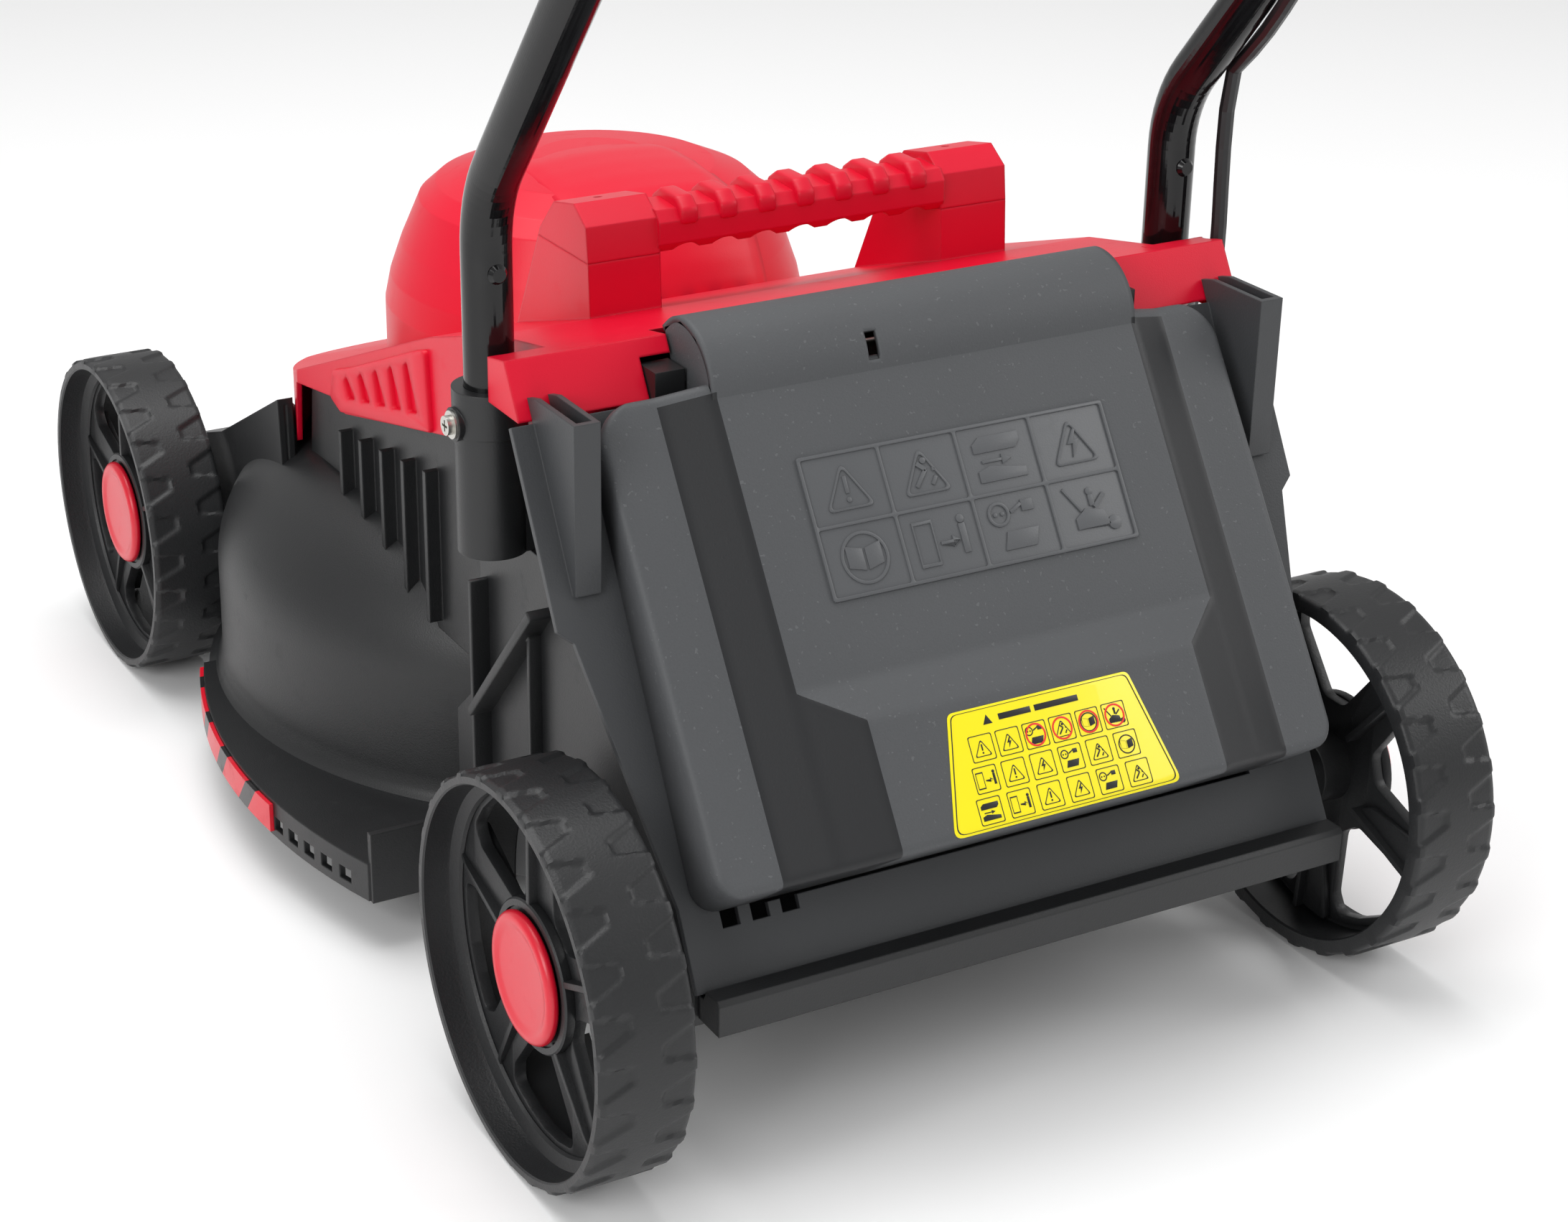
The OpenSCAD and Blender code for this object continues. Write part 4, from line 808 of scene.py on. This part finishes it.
dress(["carry_grip"], cover_plastic)
RIB = rounded([(151.5, 262.5), (151.5, 270), (158, 275), (174, 275), (181.5, 270), (181.5, 262.5)], 3.5)
ribs = [moved(plate([RIB], x - 4.5, x + 4.5, 1.6), STANDING) for x in range(-60, 61, 20)]
grip_ribs = piece("carry_ribs", ribs, cover_plastic, "chassis", sharp=45)


# ---- handle ----
# Bent steel tube in gloss black powder coat. The lower tubes stand in plastic sockets, the
# upper handle is bolted beside them and carries a foam grip and an orange switch lever.


def gloss_coat(name, colour, rough):
    """Powder coat: a glossy skin with slight orange peel and fine dust."""
    finish = Finish(name, colour, rough, Specular_IOR_Level=0.38)
    peel = finish.noise(0.0035, 2.0)
    dust = finish.noise(0.03, 6.0).ramp(0.5, 0.75)
    finish.feed("Base Color", finish.mix(colour, [c + 0.004 for c in colour], dust))
    finish.feed("Roughness", dust * 0.05 + peel * 0.03 + rough)
    finish.bump(peel, 0.00004)
    return finish.material


tube_coat = gloss_coat("tube_coat", (0.004, 0.004, 0.0045), 0.09)
bail_coat = gloss_coat("bail_coat", (0.60, 0.07, 0.0), 0.2)
foam = moulded("grip_foam", (0.017, 0.017, 0.018), 0.8, grain=0.0012, depth=0.0003, shade=0.2)
dress(["socket_l", "socket_r", "knob_l", "knob_r"], clip_plastic)
dress(["lower_tube_l", "lower_tube_r", "tube_rivet_l", "tube_rivet_r", "upper_handle"], tube_coat)
dress(["bail_lever"], bail_coat)
dress(["handle_grip"], foam)


# ---- switch box ----
# Two black shells clamp round the right leg. A red lock-off button stands in the front one
# and the mains inlet points back. A bracket on the left leg holds the lever's far end.

red_button = moulded("button_plastic", (0.75, 0.01, 0.01), 0.32, grain=0.0006, depth=0.00002, shade=0.05)
dress(["switch_front", "switch_back", "bail_bracket", "inlet"], clip_plastic)
dress(["safety_button"], red_button)


# ---- steel fittings ----
# Zinc-plated screws, nuts, bolts and spring, and bright drawn axles and hinge rod.


def metal(name, colour, rough):
    """Plated or machined metal with fine streaks and a little staining."""
    finish = Finish(name, colour, rough, Metallic=1.0)
    slow = finish.noise(0.02, 4.0)
    fine = finish.noise(0.0006, 2.0)
    stain = finish.noise(0.009, 5.0).ramp(0.56, 0.7)
    plated = finish.mix([c * 0.8 for c in colour], colour, slow)
    finish.feed("Base Color", finish.mix(plated, [c * 0.55 for c in colour], stain * 0.35))
    finish.feed("Roughness", slow * 0.14 + stain * 0.12 + (rough - 0.1))
    finish.bump(fine, 0.00002)
    return finish.material


zinc = metal("zinc_plate", (0.62, 0.61, 0.57), 0.34)
axle_steel = metal("axle_steel", (0.46, 0.46, 0.47), 0.38)
dress(["socket_screw_l", "socket_screw_r", "fold_bolt_l", "fold_bolt_r", "flap_spring", "blade_bolt"], zinc)
dress(["axle_nut_" + corner for corner in WHEELS], zinc)
dress(["flap_rod", "rear_axle", "front_axle_l", "front_axle_r"], axle_steel)


# ---- motor and blade ----
# A cast alloy motor on a base plate over the blade chamber. Its steel rotor runs in two
# bearings and carries a fan on top and a coated steel blade in a plastic holder below.

cast_alloy = metal("cast_alloy", (0.55, 0.56, 0.57), 0.5)
rotor_steel = metal("rotor_steel", (0.36, 0.35, 0.34), 0.45)
blade_paint = gloss_coat("blade_paint", (0.03, 0.03, 0.032), 0.3)
dress(["motor_can", "motor_base"], cast_alloy)
dress(["rotor", "bearing_upper", "bearing_lower"], rotor_steel)
dress(["blade"], blade_paint)
dress(["cooling_fan", "blade_holder"], clip_plastic)


# ---- cable ----
# The black rubber motor cable is held along the right tube. It hangs free for a hand's
# breadth round the fold.

CABLE_R, FREE_HALF = 3.75, 61.0
BELOW_TUBE = -15.25
LEAN = math.radians(40)
fold_at = Vector(joints["handle_fold"]["pos_m"])
cable_rubber = moulded("cable_rubber", (0.014, 0.014, 0.015), 0.42, grain=0.003, depth=0.00004)
dress(["cable_lower", "cable_bend", "cable_upper", "cable_gland"], cable_rubber)


def by_handle(x, off, up):
    """A point beside the handle: off forward of its tubes and up along them from the fold."""
    y = math.cos(LEAN) * off - math.sin(LEAN) * up
    z = math.sin(LEAN) * off + math.cos(LEAN) * up
    return Vector((x * MM, fold_at.y + y * MM, fold_at.z + z * MM))


def cable_mesh():
    """The free part: a round sweep that crosses from the lower tube to the upper one."""
    side = Vector((1, 0, 0))
    front = Vector((0, math.cos(LEAN), math.sin(LEAN)))
    rings = []
    for k in range(61):
        t = k / 60
        slack = 8 * math.sin(math.pi * t) ** 2
        centre = by_handle(176 - 24 * smooth(t), BELOW_TUBE - slack, FREE_HALF * (2 * t - 1))
        turns = [math.tau * j / 20 for j in range(20)]
        rings.append([centre + (side * math.cos(a) + front * math.sin(a)) * CABLE_R * MM for a in turns])
    return skin(rings, caps=True)


cable = piece("cable_free", [cable_mesh()], cable_rubber, None, place=Matrix(), sharp=60)
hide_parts("cable_bend")
by_handle(176, BELOW_TUBE, -60)
by_handle(152, BELOW_TUBE, 60)
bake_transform(cable)


# ---- finish ----

bpy.context.view_layer.update()
